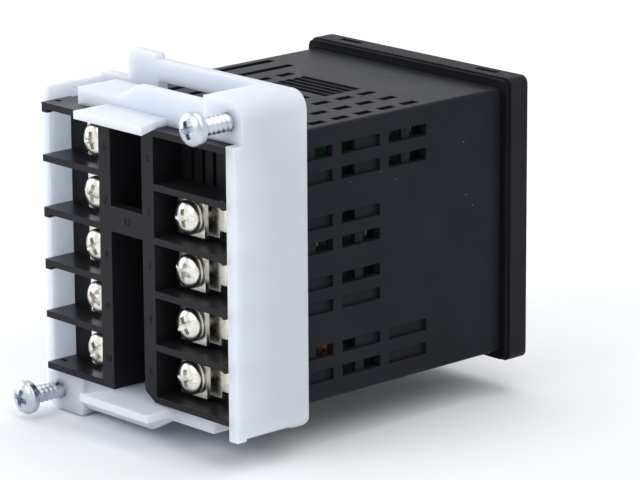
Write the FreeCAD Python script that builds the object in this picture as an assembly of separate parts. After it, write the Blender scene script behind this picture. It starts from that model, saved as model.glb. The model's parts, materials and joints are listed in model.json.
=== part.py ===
import FreeCAD, Part
import math
import os

# PID temperature controller for a 45 mm panel cut-out, with its moulded clamping bracket.
# Millimetres. Seen from the operator's side: +X right, +Y backwards into the panel, +Z up.
# The origin is the centre of the cut-out, on the front face of the panel (back of the gasket).

V = FreeCAD.Vector

# ---------------------------------------------------------------- driving dimensions
# case, the size that the rest follows
CASE_SIZE = 44.8
CASE_WALL = 1.6
CASE_CORNER = 0.7
CASE_LENGTH = 53.3
FLANGE_THICKNESS = 1.5
BARRIER_DEPTH = 6.0

# front
BEZEL_MARGIN = 1.6
BEZEL_THICKNESS = 4.2
BEZEL_CORNER = 1.3
BEZEL_EDGE = 0.4
BEZEL_WALL = 2.0
GASKET_THICKNESS = 1.0
GASKET_INSET = 0.2
COLLAR_LENGTH = 3.4
COLLAR_WALL = 1.4
RELEASE_WIDTH = 5.0
RELEASE_LENGTH = 1.2
RELEASE_DEPTH = 0.6
RELEASE_FROM_SIDE = 7.7

# window, displays and keys
WINDOW_SIDE = 3.8
WINDOW_TOP = 4.0
WINDOW_SHARE = 0.54
WINDOW_THICKNESS = 1.4
WINDOW_LEDGE = 1.2
WINDOW_CORNER = 0.7
DIGITS = 4
DIGIT_WELL_SHARE = 0.76
DIGIT_WELL_DEPTH = 0.2
UPPER_SHARE = 0.46
LOWER_SHARE = 0.30
MODULE_SPACE = 0.8
DIGIT_MODULE_DEPTH = 4.4
LAMP_COLUMN = 4.6
LAMP_RADIUS = 1.0
LAMP_HEIGHT = 3.2
LAMPS = 4
KEYS = 4
KEY_SPACE = 2.0
KEY_HEIGHT = 5.0
KEY_CORNER = 0.55
KEY_EDGE = 0.3
KEY_FROM_BOTTOM = 10.1
KEY_PROUD = 0.4
KEY_FLANGE = 0.6
KEY_FLANGE_THICKNESS = 0.8
KEY_TRAVEL = 0.6
SWITCH_SIZE = 4.6
SWITCH_HEIGHT = 2.2
PLUNGER_RISE = 0.6
PLUNGER_RADIUS = 1.2

# side windows, columns counted from the front and rows from the top
SLOT_LENGTH_SHARE = 0.81
SLOT_HEIGHT = 1.95
SLOT_PITCH_SHARE = 0.193
SLOT_START = 16.8
SLOT_DEPTH = 0.95
REAR_HOLE_SHARE = 0.35
FRONT_HOLE_SHARE = 0.46
SLOT_ROW_SHARES = (0.817, 0.638, 0.310, 0.132)

# top and bottom vents
VENT_LENGTH = 3.2
VENT_WIDTH = 1.6
VENT_START = 16.45
VENT_PITCH_Y = 5.05
VENT_PITCH_SHARE = 0.1094
VENT_ROWS = 5
LONG_VENT_START = 12.2

# ratchet patch on the top and bottom
RATCHET_WIDTH = 13.6
RATCHET_START = 16.5
RATCHET_PITCH = 1.65
RATCHET_TEETH = 5
RATCHET_DEPTH = 0.55
RATCHET_SLOPE_SHARE = 0.85

# terminal block
TERMINAL_ROWS = 5
BARRIER = 1.1
BAR_SHARE = 0.127
CHANNEL_OFFSET_SHARE = 0.069
CHANNEL_SHARE = 0.344
CHANNEL_DEPTH = 8.8
BRIDGE_SHARE = 0.272
BRIDGE_HEIGHT = 4.2
BRIDGE_THICKNESS = 2.0
SPIGOT_LENGTH = 3.0
PLUS_SCREW_SHARE = 0.527
MINUS_SCREW_SHARE = 0.464
BAR_BEVEL_WIDTH = 2.5
BAR_BEVEL_HEIGHT = 1.6
TIP_BEAD = 0.85
HOOK_LENGTH = 1.3
HOOK_DROP = 0.55
COVER_HOLE_WIDTH = 1.3
COVER_HOLE_HEIGHT = 0.8
COVER_HOLE_FROM_EDGE = 1.3
COVER_HOLE_FROM_BACK = 2.4
GROOVES = 3
GROOVE_WIDTH = 0.8
GROOVE_DEPTH = 0.6
GROOVE_PITCH = 2.6

# terminals
PLATE_THICKNESS = 0.8
PLATE_WIDTH = 6.2
PLATE_TAIL = 3.8
PLATE_TAIL_BEYOND = 3.3
PLATE_BEND = 1.0
NOTCH_LENGTH = 1.5
WASHER_SIZE = 6.2
WASHER_THICKNESS = 0.8
WASHER_RELIEF_SHARE = 0.35
SCREW_RADIUS = 1.45
SCREW_LENGTH = 6.6
SCREW_HEAD_RADIUS = 2.8
SCREW_HEAD_HEIGHT = 1.9
SCREW_BACKED_OFF = 1.1

# circuit boards and what stands on them
BOARD_THICKNESS = 1.6
BOARD_FROM_WALL = 1.9
BOARD_EDGE_SPACE = 0.5
DISPLAY_BOARD_THICKNESS = 1.0
EYELET_RADIUS = 1.1
EYELET_HOLE = 0.35
EYELET_THICKNESS = 0.3
RELAY_SHARES = (0.11, 0.53, -0.92, -0.20)
RELAY_RISE_SHARE = 0.56
TRANSFORMER_SHARES = (0.11, 0.46, -0.40, 0.40)
TRANSFORMER_RISE_SHARE = 0.72
COIL_WINDOW_SHARE = 0.12
CAPACITOR_PLACE = (0.64, 0.59)
CAPACITOR_RADIUS = 4.0
CAPACITOR_HEIGHT_SHARE = 0.78
CHIP_SHARES = (0.24, 0.51, 0.20, 0.80)
CHIP_THICKNESS = 1.4
LINK_FROM_FRONT = 2.0
LINK_LENGTH = 2.4
LINK_HEIGHT = 2.6

# clamping bracket
BRACKET_GAP = 0.3
BRACKET_WALL = 1.95
BRACKET_LENGTH = 15.1
BRACKET_RADIUS = 1.2
BRACKET_PROUD = 0.2
SHORT_WALL_STEP = 1.9
BEAM_RISE = 0.75
BEAM_THICKNESS = 2.0
BEAM_CORNER_SHARE = 0.95
RIB_RISE = 4.0
RIB_END_FROM_SIDE = 8.85
LUG_WIDTH = 6.8
LUG_RISE = 0.9
LUG_CORNER = 0.6
ARCH_FROM_RIB_END = 7.3
BLOCK_WIDTH = 9.0
BLOCK_STEP = 1.7
BLOCK_CORNER = 3.0
LATCH_LENGTH = 8.0
LATCH_STEP = 2.6
LATCH_END_FROM_SIDE = 8.65
LATCH_RISE = 0.9
FENCE_RISE = 3.2
FENCE_THICKNESS = 1.4
FENCE_END = 6.0
TAB_THICKNESS = 1.3
TAB_REACH = 7.3
TAB_HALF_WIDTH = 8.3
TAB_NECK = 6.0
PAWL_FROM_BACK = 3.4
PAWL_LENGTH = 1.3
PAWL_HEIGHT = 0.18
PAWL_SIDE = 0.5

# clamp screws
CLAMP_FROM_SIDE = 3.35
CLAMP_ABOVE = 1.4
CLAMP_RADIUS = 1.45
CLAMP_LENGTH = 20.0
CLAMP_HEAD_RADIUS = 2.8
CLAMP_HEAD_HEIGHT = 2.3
CLAMP_BACKED_OFF = 6.2

# screw heads, as shares of the head's own size
HEAD_CHAMFER_SHARE = 0.45
RECESS_REACH_SHARE = 0.62
RECESS_WIDTH_SHARE = 0.26
RECESS_DEPTH_SHARE = 0.55

# flat sides of the screw heads, and of the small rods and holes
HEAD_SIDES = 24
ROD_SIDES = 16

# fits
FIT = 0.15
RUNNING = 0.08
SEAT = 0.10
BEYOND = 1.0

# ---------------------------------------------------------------- places that follow
CASE_HALF = CASE_SIZE / 2
CASE_INNER = CASE_HALF - CASE_WALL
BEZEL_HALF = CASE_HALF + BEZEL_MARGIN
BEZEL_BACK = -GASKET_THICKNESS
BEZEL_FRONT = BEZEL_BACK - BEZEL_THICKNESS
CASE_BACK = BEZEL_BACK + CASE_LENGTH
FLOOR_Y = CASE_BACK + FLANGE_THICKNESS
BARRIER_BACK = FLOOR_Y + BARRIER_DEPTH
SPIGOT_FRONT = CASE_BACK - SPIGOT_LENGTH
SPIGOT_HALF = CASE_INNER - FIT
COLLAR_HALF = CASE_INNER - FIT
COLLAR_BACK = BEZEL_BACK + COLLAR_LENGTH
CAVITY_HALF = COLLAR_HALF - COLLAR_WALL
FRONT_WALL_BACK = BEZEL_FRONT + BEZEL_WALL
WINDOW_WIDTH = 2 * (BEZEL_HALF - WINDOW_SIDE)
WINDOW_HEIGHT = 2 * BEZEL_HALF * WINDOW_SHARE
WINDOW_Z = BEZEL_HALF - WINDOW_TOP - WINDOW_HEIGHT / 2
OPEN_WIDTH = WINDOW_WIDTH - 2 * WINDOW_LEDGE
OPEN_TOP = WINDOW_Z + WINDOW_HEIGHT / 2 - WINDOW_LEDGE
MODULE_WIDTH = OPEN_WIDTH - LAMP_COLUMN - MODULE_SPACE
MODULE_X = (OPEN_WIDTH - MODULE_WIDTH - MODULE_SPACE) / 2
UPPER_HEIGHT = WINDOW_HEIGHT * UPPER_SHARE
LOWER_HEIGHT = WINDOW_HEIGHT * LOWER_SHARE
UPPER_Z = OPEN_TOP - MODULE_SPACE - UPPER_HEIGHT / 2
LOWER_Z = UPPER_Z - UPPER_HEIGHT / 2 - MODULE_SPACE - LOWER_HEIGHT / 2
KEY_PITCH = CAVITY_HALF / 2
KEY_WIDTH = KEY_PITCH - KEY_SPACE
KEY_Z = KEY_FROM_BOTTOM - BEZEL_HALF
DISPLAY_BOARD_FRONT = COLLAR_BACK + SEAT
DISPLAY_BOARD_BACK = DISPLAY_BOARD_FRONT + DISPLAY_BOARD_THICKNESS
SWITCH_FRONT = DISPLAY_BOARD_FRONT - SWITCH_HEIGHT
PLUNGER_FRONT = SWITCH_FRONT - PLUNGER_RISE
BOARD_OUTER = CASE_INNER - BOARD_FROM_WALL
BOARD_INNER = BOARD_OUTER - BOARD_THICKNESS
BOARD_HALF_HEIGHT = CASE_INNER - BOARD_EDGE_SPACE
BOARD_FRONT = DISPLAY_BOARD_BACK + SEAT
BOARD_BACK = SPIGOT_FRONT - SEAT
SLOT_PITCH = CASE_LENGTH * SLOT_PITCH_SHARE
SLOT_LENGTH = SLOT_PITCH * SLOT_LENGTH_SHARE
VENT_PITCH_X = CASE_SIZE * VENT_PITCH_SHARE
ROW_PITCH = (CASE_SIZE - BARRIER) / TERMINAL_ROWS
BAR_WIDTH = CASE_HALF * BAR_SHARE
PLUS_BAR = CASE_HALF * (CHANNEL_OFFSET_SHARE + CHANNEL_SHARE / 2)
MINUS_BAR = CASE_HALF * (CHANNEL_OFFSET_SHARE - CHANNEL_SHARE / 2)
CHANNEL_FLOOR = BARRIER_BACK - CHANNEL_DEPTH
BRIDGE_Z = CASE_HALF * BRIDGE_SHARE
PLUS_SCREW_X = CASE_HALF * PLUS_SCREW_SHARE
MINUS_SCREW_X = -CASE_HALF * MINUS_SCREW_SHARE
PLATE_BACK = FLOOR_Y + PLATE_THICKNESS
WASHER_FRONT = PLATE_BACK + SCREW_BACKED_OFF
HEAD_FRONT = WASHER_FRONT + WASHER_THICKNESS
TAIL_OUTER = BOARD_INNER - FIT
TAIL_END = SPIGOT_FRONT - PLATE_TAIL_BEYOND
BRACKET_INNER = CASE_HALF + BRACKET_GAP
BRACKET_HALF = BRACKET_INNER + BRACKET_WALL
BRACKET_BACK = BARRIER_BACK + BRACKET_PROUD
BRACKET_FRONT = BRACKET_BACK - BRACKET_LENGTH
BEAM_TOP = BRACKET_HALF + BEAM_RISE
RIB_TOP = BEAM_TOP + RIB_RISE
RIB_END_X = BRACKET_HALF - RIB_END_FROM_SIDE
BLOCK_X = BLOCK_WIDTH - BRACKET_HALF
BLOCK_BACK = BRACKET_BACK - BLOCK_STEP
LATCH_BACK = BRACKET_BACK - LATCH_STEP
LATCH_END_X = BRACKET_HALF - LATCH_END_FROM_SIDE
LATCH_TOP = BRACKET_HALF + LATCH_RISE
FENCE_TOP = LATCH_TOP + FENCE_RISE
CLAMP_X = CLAMP_FROM_SIDE - BRACKET_HALF
CLAMP_Z = BRACKET_HALF + CLAMP_ABOVE
CLAMP_HEAD_FRONT = BLOCK_BACK + CLAMP_BACKED_OFF


# ---------------------------------------------------------------- shape helpers
def block(x0, x1, y0, y1, z0, z1):
    """A box between two corners, given in any order."""
    low = V(min(x0, x1), min(y0, y1), min(z0, z1))
    return Part.makeBox(abs(x1 - x0), abs(y1 - y0), abs(z1 - z0), low)


def long_edges(shape, axis):
    """The straight edges of a shape that run along axis."""
    straight = [e for e in shape.Edges if e.Curve.TypeId == "Part::GeomLine"]
    return [e for e in straight if abs(e.tangentAt(e.FirstParameter).dot(axis)) > 0.99]


def plate_y(half_x, half_z, y0, y1, radius, x=0.0, z=0.0):
    """A rectangle with rounded corners, drawn square to Y and extruded from y0 to y1."""
    body = block(x - half_x, x + half_x, y0, y1, z - half_z, z + half_z)
    return body.makeFillet(radius, long_edges(body, V(0, 1, 0)))


def front_edges(shape, y):
    return [e for e in shape.Edges if e.BoundBox.YMax < y + 0.01]


def clipped_plate_y(half_x, half_z, y0, y1, corner, x, z):
    """The same as plate_y, with its corners cut off flat."""
    body = block(x - half_x, x + half_x, y0, y1, z - half_z, z + half_z)
    return body.makeChamfer(corner, long_edges(body, V(0, 1, 0)))


def rod_y(x, z, y0, y1, radius):
    return Part.makeCylinder(radius, y1 - y0, V(x, y0, z), V(0, 1, 0))


def sided_rod_y(x, z, y0, y1, radius, sides=ROD_SIDES):
    """A small rod or hole along Y with flat sides, its corners on the radius."""
    angles = [2 * math.pi * (i + 0.5) / sides for i in range(sides)]
    corners = [(x + radius * math.cos(a), y0, z + radius * math.sin(a)) for a in angles]
    return prism(corners, V(0, y1 - y0, 0))


def prism(points, along):
    """A closed outline extruded by the vector along."""
    corners = [V(*p) for p in points]
    return Part.Face(Part.makePolygon(corners + corners[:1])).extrude(along)


def fuse(shapes):
    return shapes[0].multiFuse(shapes[1:]).removeSplitter()


def turned(shape):
    """The same shape half a turn round the Y axis."""
    copy = shape.copy()
    copy.rotate(V(0, 0, 0), V(0, 1, 0), 180)
    return copy


def mirror_z(shape):
    return shape.mirror(V(0, 0, 0), V(0, 0, 1))


def mirror_x(shape):
    return shape.mirror(V(0, 0, 0), V(1, 0, 0))


def pan_screw(x, z, head_front, head_radius, head_height, shank_radius, length):
    """A pan head screw along Y, its head at the back and its tip towards the panel."""
    face = head_front + head_height
    head = sided_rod_y(x, z, head_front, face, head_radius, HEAD_SIDES)
    rim = [e for e in head.Edges if e.BoundBox.YMin > face - 0.01]
    head = head.makeChamfer(head_height * HEAD_CHAMFER_SHARE, rim)
    shank = sided_rod_y(x, z, head_front - length, head_front, shank_radius)
    reach = head_radius * RECESS_REACH_SHARE
    half = head_radius * RECESS_WIDTH_SHARE / 2
    floor = face - head_height * RECESS_DEPTH_SHARE
    flat = block(x - reach, x + reach, floor, face + BEYOND, z - half, z + half)
    upright = block(x - half, x + half, floor, face + BEYOND, z - reach, z + reach)
    return fuse([head, shank]).cut([flat, upright])


# ---------------------------------------------------------------- front
def key_places():
    return [(i - (KEYS - 1) / 2) * KEY_PITCH for i in range(KEYS)]


def front_bezel():
    """The square frame, its window seat and key holes, and the collar that holds the case."""
    body = plate_y(BEZEL_HALF, BEZEL_HALF, BEZEL_FRONT, BEZEL_BACK, BEZEL_CORNER)
    body = body.makeChamfer(BEZEL_EDGE, front_edges(body, BEZEL_FRONT))
    collar = plate_y(COLLAR_HALF, COLLAR_HALF, BEZEL_BACK, COLLAR_BACK, CASE_CORNER)
    cuts = [
        plate_y(CAVITY_HALF, CAVITY_HALF, FRONT_WALL_BACK, COLLAR_BACK + BEYOND, CASE_CORNER),
        plate_y(WINDOW_WIDTH / 2 + SEAT, WINDOW_HEIGHT / 2 + SEAT, BEZEL_FRONT - BEYOND,
                BEZEL_FRONT + WINDOW_THICKNESS, WINDOW_CORNER + SEAT, 0.0, WINDOW_Z),
        block(-OPEN_WIDTH / 2, OPEN_WIDTH / 2, BEZEL_FRONT, FRONT_WALL_BACK + BEYOND,
              OPEN_TOP, OPEN_TOP - WINDOW_HEIGHT + 2 * WINDOW_LEDGE),
    ]
    for x in key_places():
        cuts.append(clipped_plate_y(KEY_WIDTH / 2 + FIT, KEY_HEIGHT / 2 + FIT, BEZEL_FRONT - BEYOND,
                                    FRONT_WALL_BACK + BEYOND, KEY_CORNER, x, KEY_Z))
    middle = (BEZEL_FRONT + BEZEL_BACK) / 2
    for x in (RELEASE_FROM_SIDE - BEZEL_HALF, BEZEL_HALF - RELEASE_FROM_SIDE):
        for z in (-BEZEL_HALF, BEZEL_HALF):
            cuts.append(block(x - RELEASE_WIDTH / 2, x + RELEASE_WIDTH / 2,
                              middle - RELEASE_LENGTH / 2, middle + RELEASE_LENGTH / 2,
                              z - RELEASE_DEPTH, z + RELEASE_DEPTH))
    return fuse([body, collar]).cut(cuts)


def key(x):
    """A key cap, the flange that keeps it in, and the stem that reaches for its switch."""
    face = BEZEL_FRONT - KEY_PROUD
    back = FRONT_WALL_BACK + KEY_FLANGE_THICKNESS
    cap = clipped_plate_y(KEY_WIDTH / 2, KEY_HEIGHT / 2, face, FRONT_WALL_BACK, KEY_CORNER, x, KEY_Z)
    cap = cap.makeChamfer(KEY_EDGE, front_edges(cap, face))
    half_x = KEY_WIDTH / 2 + KEY_FLANGE
    half_z = KEY_HEIGHT / 2 + KEY_FLANGE
    flange = block(x - half_x, x + half_x, FRONT_WALL_BACK, back, KEY_Z - half_z, KEY_Z + half_z)
    stem = sided_rod_y(x, KEY_Z, back, PLUNGER_FRONT - KEY_TRAVEL - RUNNING, PLUNGER_RADIUS)
    return fuse([cap, flange, stem])


def key_switches():
    half = SWITCH_SIZE / 2
    switches = []
    for x in key_places():
        body = block(x - half, x + half, SWITCH_FRONT, DISPLAY_BOARD_FRONT, KEY_Z - half, KEY_Z + half)
        plunger = sided_rod_y(x, KEY_Z, PLUNGER_FRONT, SWITCH_FRONT, PLUNGER_RADIUS)
        switches.append(fuse([body, plunger]))
    return Part.makeCompound(switches)


def display_window():
    return plate_y(WINDOW_WIDTH / 2, WINDOW_HEIGHT / 2, BEZEL_FRONT, BEZEL_FRONT + WINDOW_THICKNESS,
                   WINDOW_CORNER, 0.0, WINDOW_Z)


def digit_module(z, height):
    """A display block with a shallow well for each digit."""
    front = DISPLAY_BOARD_FRONT - DIGIT_MODULE_DEPTH
    body = block(MODULE_X - MODULE_WIDTH / 2, MODULE_X + MODULE_WIDTH / 2, front, DISPLAY_BOARD_FRONT,
                 z - height / 2, z + height / 2)
    pitch = MODULE_WIDTH / DIGITS
    half_x = pitch * DIGIT_WELL_SHARE / 2
    half_z = height * DIGIT_WELL_SHARE / 2
    wells = []
    for i in range(DIGITS):
        x = MODULE_X + (i - (DIGITS - 1) / 2) * pitch
        wells.append(block(x - half_x, x + half_x, front - BEYOND, front + DIGIT_WELL_DEPTH,
                           z - half_z, z + half_z))
    return body.cut(wells)


def status_lamps():
    """Square lamps in a column beside the digits."""
    x = (LAMP_COLUMN - OPEN_WIDTH) / 2
    top = UPPER_Z + UPPER_HEIGHT / 2 - LAMP_RADIUS
    bottom = LOWER_Z - LOWER_HEIGHT / 2 + LAMP_RADIUS
    lamps = []
    for i in range(LAMPS):
        z = top + (bottom - top) * i / (LAMPS - 1)
        lamps.append(block(x - LAMP_RADIUS, x + LAMP_RADIUS, DISPLAY_BOARD_FRONT - LAMP_HEIGHT,
                           DISPLAY_BOARD_FRONT, z - LAMP_RADIUS, z + LAMP_RADIUS))
    return Part.makeCompound(lamps)


def panel_gasket():
    half = BEZEL_HALF - GASKET_INSET
    ring = plate_y(half, half, BEZEL_BACK, 0.0, BEZEL_CORNER)
    hole = CASE_HALF + SEAT
    return ring.cut(plate_y(hole, hole, BEZEL_BACK - BEYOND, BEYOND, CASE_CORNER))


# ---------------------------------------------------------------- case
# Side windows by row, top to bottom, and by column, back to front:
# "b" both holes, "r" rear hole, "f" front hole, "o" blind, "-" none.
SIDE_PLAN = ("frb", "orb", "or-", "fb-", "ob-", "oo-", "fro", "obo")


def side_rows():
    upper = [CASE_HALF * share for share in SLOT_ROW_SHARES]
    return upper + [-z for z in reversed(upper)]


def column_front(column):
    return SLOT_START + column * SLOT_PITCH


def side_windows():
    """Cutters for the windows in the -X wall: a shallow recess with holes through its floor."""
    face = -CASE_HALF
    inside = face + CASE_WALL + BEYOND
    cuts = []
    for z, plan in zip(side_rows(), SIDE_PLAN):
        z0 = z - SLOT_HEIGHT / 2
        z1 = z + SLOT_HEIGHT / 2
        for column, kind in enumerate(reversed(plan)):
            front = column_front(column)
            back = front + SLOT_LENGTH
            if kind != "-":
                cuts.append(block(face - BEYOND, face + SLOT_DEPTH, front, back, z0, z1))
            if kind in "rb":
                cuts.append(block(face, inside, back - SLOT_LENGTH * REAR_HOLE_SHARE, back, z0, z1))
            if kind in "fb":
                cuts.append(block(face, inside, front, front + SLOT_LENGTH * FRONT_HOLE_SHARE, z0, z1))
    return cuts


def top_vents():
    """Cutters for the vents in the top wall: short slots round the ratchet and two long ones."""
    z0 = CASE_INNER - BEYOND
    z1 = CASE_HALF + BEYOND
    half = VENT_WIDTH / 2
    last = VENT_START + (VENT_ROWS - 1) * VENT_PITCH_Y + VENT_LENGTH
    ratchet_end = RATCHET_START + RATCHET_TEETH * RATCHET_PITCH
    cuts = []
    for column in range(-4, 3):
        x = column * VENT_PITCH_X
        for row in range(VENT_ROWS):
            y = VENT_START + row * VENT_PITCH_Y
            if abs(x) - half > RATCHET_WIDTH / 2 or y > ratchet_end:
                cuts.append(block(x - half, x + half, y, y + VENT_LENGTH, z0, z1))
    for column in (3, 4):
        x = column * VENT_PITCH_X
        cuts.append(block(x - half, x + half, LONG_VENT_START, last, z0, z1))
    return cuts


def ratchet_grooves():
    """Cutters for the saw teeth sunk in the top face, steep towards the panel."""
    x = -RATCHET_WIDTH / 2
    above = CASE_HALF + BEYOND / 2
    grooves = []
    for tooth in range(RATCHET_TEETH):
        y = RATCHET_START + tooth * RATCHET_PITCH
        crest = y + RATCHET_PITCH * RATCHET_SLOPE_SHARE
        outline = [(x, y, above), (x, y, CASE_HALF - RATCHET_DEPTH), (x, crest, CASE_HALF),
                   (x, crest, above)]
        grooves.append(prism(outline, V(RATCHET_WIDTH, 0, 0)))
    return grooves


def case():
    shell = plate_y(CASE_HALF, CASE_HALF, BEZEL_BACK, CASE_BACK, CASE_CORNER)
    inside = block(-CASE_INNER, CASE_INNER, BEZEL_BACK - BEYOND, CASE_BACK + BEYOND,
                   -CASE_INNER, CASE_INNER)
    side = side_windows()
    top = top_vents() + ratchet_grooves()
    return shell.cut([inside] + side + [mirror_x(c) for c in side] + top + [mirror_z(c) for c in top])


# ---------------------------------------------------------------- terminal block
def row_z(row):
    """Centre height of a terminal compartment, row 0 at the top."""
    return ((TERMINAL_ROWS - 1) / 2 - row) * ROW_PITCH


def barrier_z(line):
    """Centre height of a partition, line 0 at the top edge."""
    return (TERMINAL_ROWS / 2 - line) * ROW_PITCH


def terminal_places():
    """Screw axes that carry a terminal. The top place of the -X column stays empty."""
    plus = [(PLUS_SCREW_X, row_z(row)) for row in range(TERMINAL_ROWS)]
    minus = [(MINUS_SCREW_X, row_z(row)) for row in range(1, TERMINAL_ROWS)]
    return plus + minus


def barriers(x_bar, x_edge):
    """The partitions of one column, from its bar out to the side of the case."""
    half = BARRIER / 2
    sheets = []
    for line in range(TERMINAL_ROWS + 1):
        z = barrier_z(line)
        sheets.append(block(x_bar, x_edge, FLOOR_Y, BARRIER_BACK, z - half, z + half))
    return sheets


def barrier_ends():
    """Rounded beads on the ends of the -X partitions, and small hooks under some of the +X ones."""
    pieces = []
    for line in range(1, TERMINAL_ROWS):
        pieces.append(rod_y(TIP_BEAD - CASE_HALF, barrier_z(line), FLOOR_Y, BARRIER_BACK, TIP_BEAD))
    for line in (0, 2, 3):
        z = barrier_z(line) - BARRIER / 2
        pieces.append(block(CASE_HALF - HOOK_LENGTH, CASE_HALF, BARRIER_BACK - HOOK_LENGTH, BARRIER_BACK,
                            z - HOOK_DROP, z))
    return pieces


def tail_slot(x, z):
    """The slot in the floor that a terminal plate's tail passes through."""
    side = math.copysign(1.0, x)
    half = PLATE_TAIL / 2 + FIT
    return block(side * (TAIL_OUTER - PLATE_THICKNESS - FIT), side * (TAIL_OUTER + FIT),
                 SPIGOT_FRONT - BEYOND, FLOOR_Y + BEYOND, z - half, z + half)


def cover_holes():
    """Small slots near the four corners that a terminal cover snaps into."""
    y = BARRIER_BACK - COVER_HOLE_FROM_BACK
    half_x = COVER_HOLE_WIDTH / 2
    half_y = COVER_HOLE_HEIGHT / 2
    holes = []
    for x in (COVER_HOLE_FROM_EDGE - CASE_HALF, CASE_HALF - COVER_HOLE_FROM_EDGE):
        hole = block(x - half_x, x + half_x, y - half_y, y + half_y,
                     CASE_HALF - 2 * BARRIER, CASE_HALF + BEYOND)
        holes += [hole, mirror_z(hole)]
    return holes


def terminal_block():
    """The rear closure: floor, spigot, two bars with a channel between, and the partitions."""
    edge = CASE_HALF
    bars = [
        block(PLUS_BAR, PLUS_BAR + BAR_WIDTH, FLOOR_Y, BARRIER_BACK, -edge, edge),
        block(MINUS_BAR - BAR_WIDTH, MINUS_BAR, FLOOR_Y, BARRIER_BACK, -edge, edge),
    ]
    body = fuse([
        plate_y(edge, edge, CASE_BACK, FLOOR_Y, CASE_CORNER),
        block(-SPIGOT_HALF, SPIGOT_HALF, SPIGOT_FRONT, CASE_BACK, -SPIGOT_HALF, SPIGOT_HALF),
    ] + bars + barriers(PLUS_BAR, edge) + barriers(MINUS_BAR, -edge) + barrier_ends())
    cuts = [block(MINUS_BAR, PLUS_BAR, CHANNEL_FLOOR, BARRIER_BACK + BEYOND, -edge - BEYOND, edge + BEYOND)]
    bevel = [(MINUS_BAR, FLOOR_Y, edge - BAR_BEVEL_HEIGHT), (MINUS_BAR, FLOOR_Y, edge),
             (MINUS_BAR - BAR_BEVEL_WIDTH, FLOOR_Y, edge)]
    cuts.append(prism(bevel, V(0, BARRIER_DEPTH + BEYOND, 0)))
    cuts.append(mirror_z(cuts[-1]))
    for x, z in terminal_places():
        cuts.append(sided_rod_y(x, z, SPIGOT_FRONT - BEYOND, FLOOR_Y + BEYOND, SCREW_RADIUS + RUNNING))
        cuts.append(tail_slot(x, z))
    half = GROOVE_WIDTH / 2
    clear = (ROW_PITCH - BARRIER) / 2
    for i in range(GROOVES):
        x = MINUS_SCREW_X - (i - (GROOVES - 1) / 2) * GROOVE_PITCH
        cuts.append(block(x - half, x + half, FLOOR_Y - GROOVE_DEPTH, FLOOR_Y + BEYOND,
                          row_z(0) - clear, row_z(0) + clear))
    bridge = block(MINUS_BAR, PLUS_BAR, BARRIER_BACK - BRIDGE_THICKNESS, BARRIER_BACK,
                   BRIDGE_Z - BRIDGE_HEIGHT / 2, BRIDGE_Z + BRIDGE_HEIGHT / 2)
    return fuse([body.cut(cuts + cover_holes()), bridge])


def terminal_plate(x, z):
    """A stepped strip under the screw, bent forwards through the floor to its circuit board."""
    side = math.copysign(1.0, x)
    outer = side * TAIL_OUTER
    inner = side * (TAIL_OUTER - PLATE_THICKNESS)
    low = z - PLATE_TAIL / 2
    corners = [(x, FLOOR_Y), (x, PLATE_BACK), (outer - side * PLATE_BEND, PLATE_BACK),
               (outer, PLATE_BACK - PLATE_BEND), (outer, TAIL_END), (inner, TAIL_END), (inner, FLOOR_Y)]
    strip = prism([(a, b, low) for a, b in corners], V(0, 0, PLATE_TAIL))
    half = PLATE_WIDTH / 2
    pad = block(x - side * half, inner - side * NOTCH_LENGTH, FLOOR_Y, PLATE_BACK, z - half, z + half)
    hole = sided_rod_y(x, z, FLOOR_Y - BEYOND, PLATE_BACK + BEYOND, SCREW_RADIUS + RUNNING)
    return fuse([strip, pad]).cut(hole)


def terminal_plates():
    return Part.makeCompound([terminal_plate(x, z) for x, z in terminal_places()])


def terminal_screw(x, z):
    return pan_screw(x, z, HEAD_FRONT, SCREW_HEAD_RADIUS, SCREW_HEAD_HEIGHT, SCREW_RADIUS, SCREW_LENGTH)


def terminal_washer(x, z):
    """A square washer held under the head, relieved underneath so that its sides bite the wire."""
    half = WASHER_SIZE / 2
    body = block(x - half, x + half, WASHER_FRONT, HEAD_FRONT, z - half, z + half)
    relief = block(x - half / 2, x + half / 2, WASHER_FRONT - BEYOND,
                   WASHER_FRONT + WASHER_THICKNESS * WASHER_RELIEF_SHARE, z - half - BEYOND,
                   z + half + BEYOND)
    hole = sided_rod_y(x, z, WASHER_FRONT - BEYOND, HEAD_FRONT + BEYOND, SCREW_RADIUS + RUNNING)
    return body.cut([relief, hole])


# ---------------------------------------------------------------- circuit boards
def along_board(share):
    """A place along an upright board, as a share of its length from its front edge."""
    return BOARD_FRONT + (BOARD_BACK - BOARD_FRONT) * share


def on_board(side, rise, y0, y1, z0, z1):
    """A block standing on the inner face of an upright board. The last four are shares of the board."""
    face = side * BOARD_INNER
    return block(face, face - side * rise, along_board(y0), along_board(y1),
                 z0 * BOARD_HALF_HEIGHT, z1 * BOARD_HALF_HEIGHT)


def display_board():
    half = CASE_INNER - FIT
    return block(-half, half, DISPLAY_BOARD_FRONT, DISPLAY_BOARD_BACK, -half, half)


def main_board():
    return block(-BOARD_OUTER, -BOARD_INNER, BOARD_FRONT, BOARD_BACK, -BOARD_HALF_HEIGHT,
                 BOARD_HALF_HEIGHT)


def power_board():
    return mirror_x(main_board())


def board_eyelet():
    """The copper eyelet on the outer face of the main board, behind a side window."""
    y = column_front(2) + SLOT_LENGTH * FRONT_HOLE_SHARE / 2
    z = side_rows()[6]
    ring = Part.makeCylinder(EYELET_RADIUS, EYELET_THICKNESS, V(-BOARD_OUTER, y, z), V(-1, 0, 0))
    hole = Part.makeCylinder(EYELET_HOLE, EYELET_THICKNESS + BEYOND, V(-BOARD_OUTER, y, z), V(-1, 0, 0))
    return ring.cut(hole)


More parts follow.
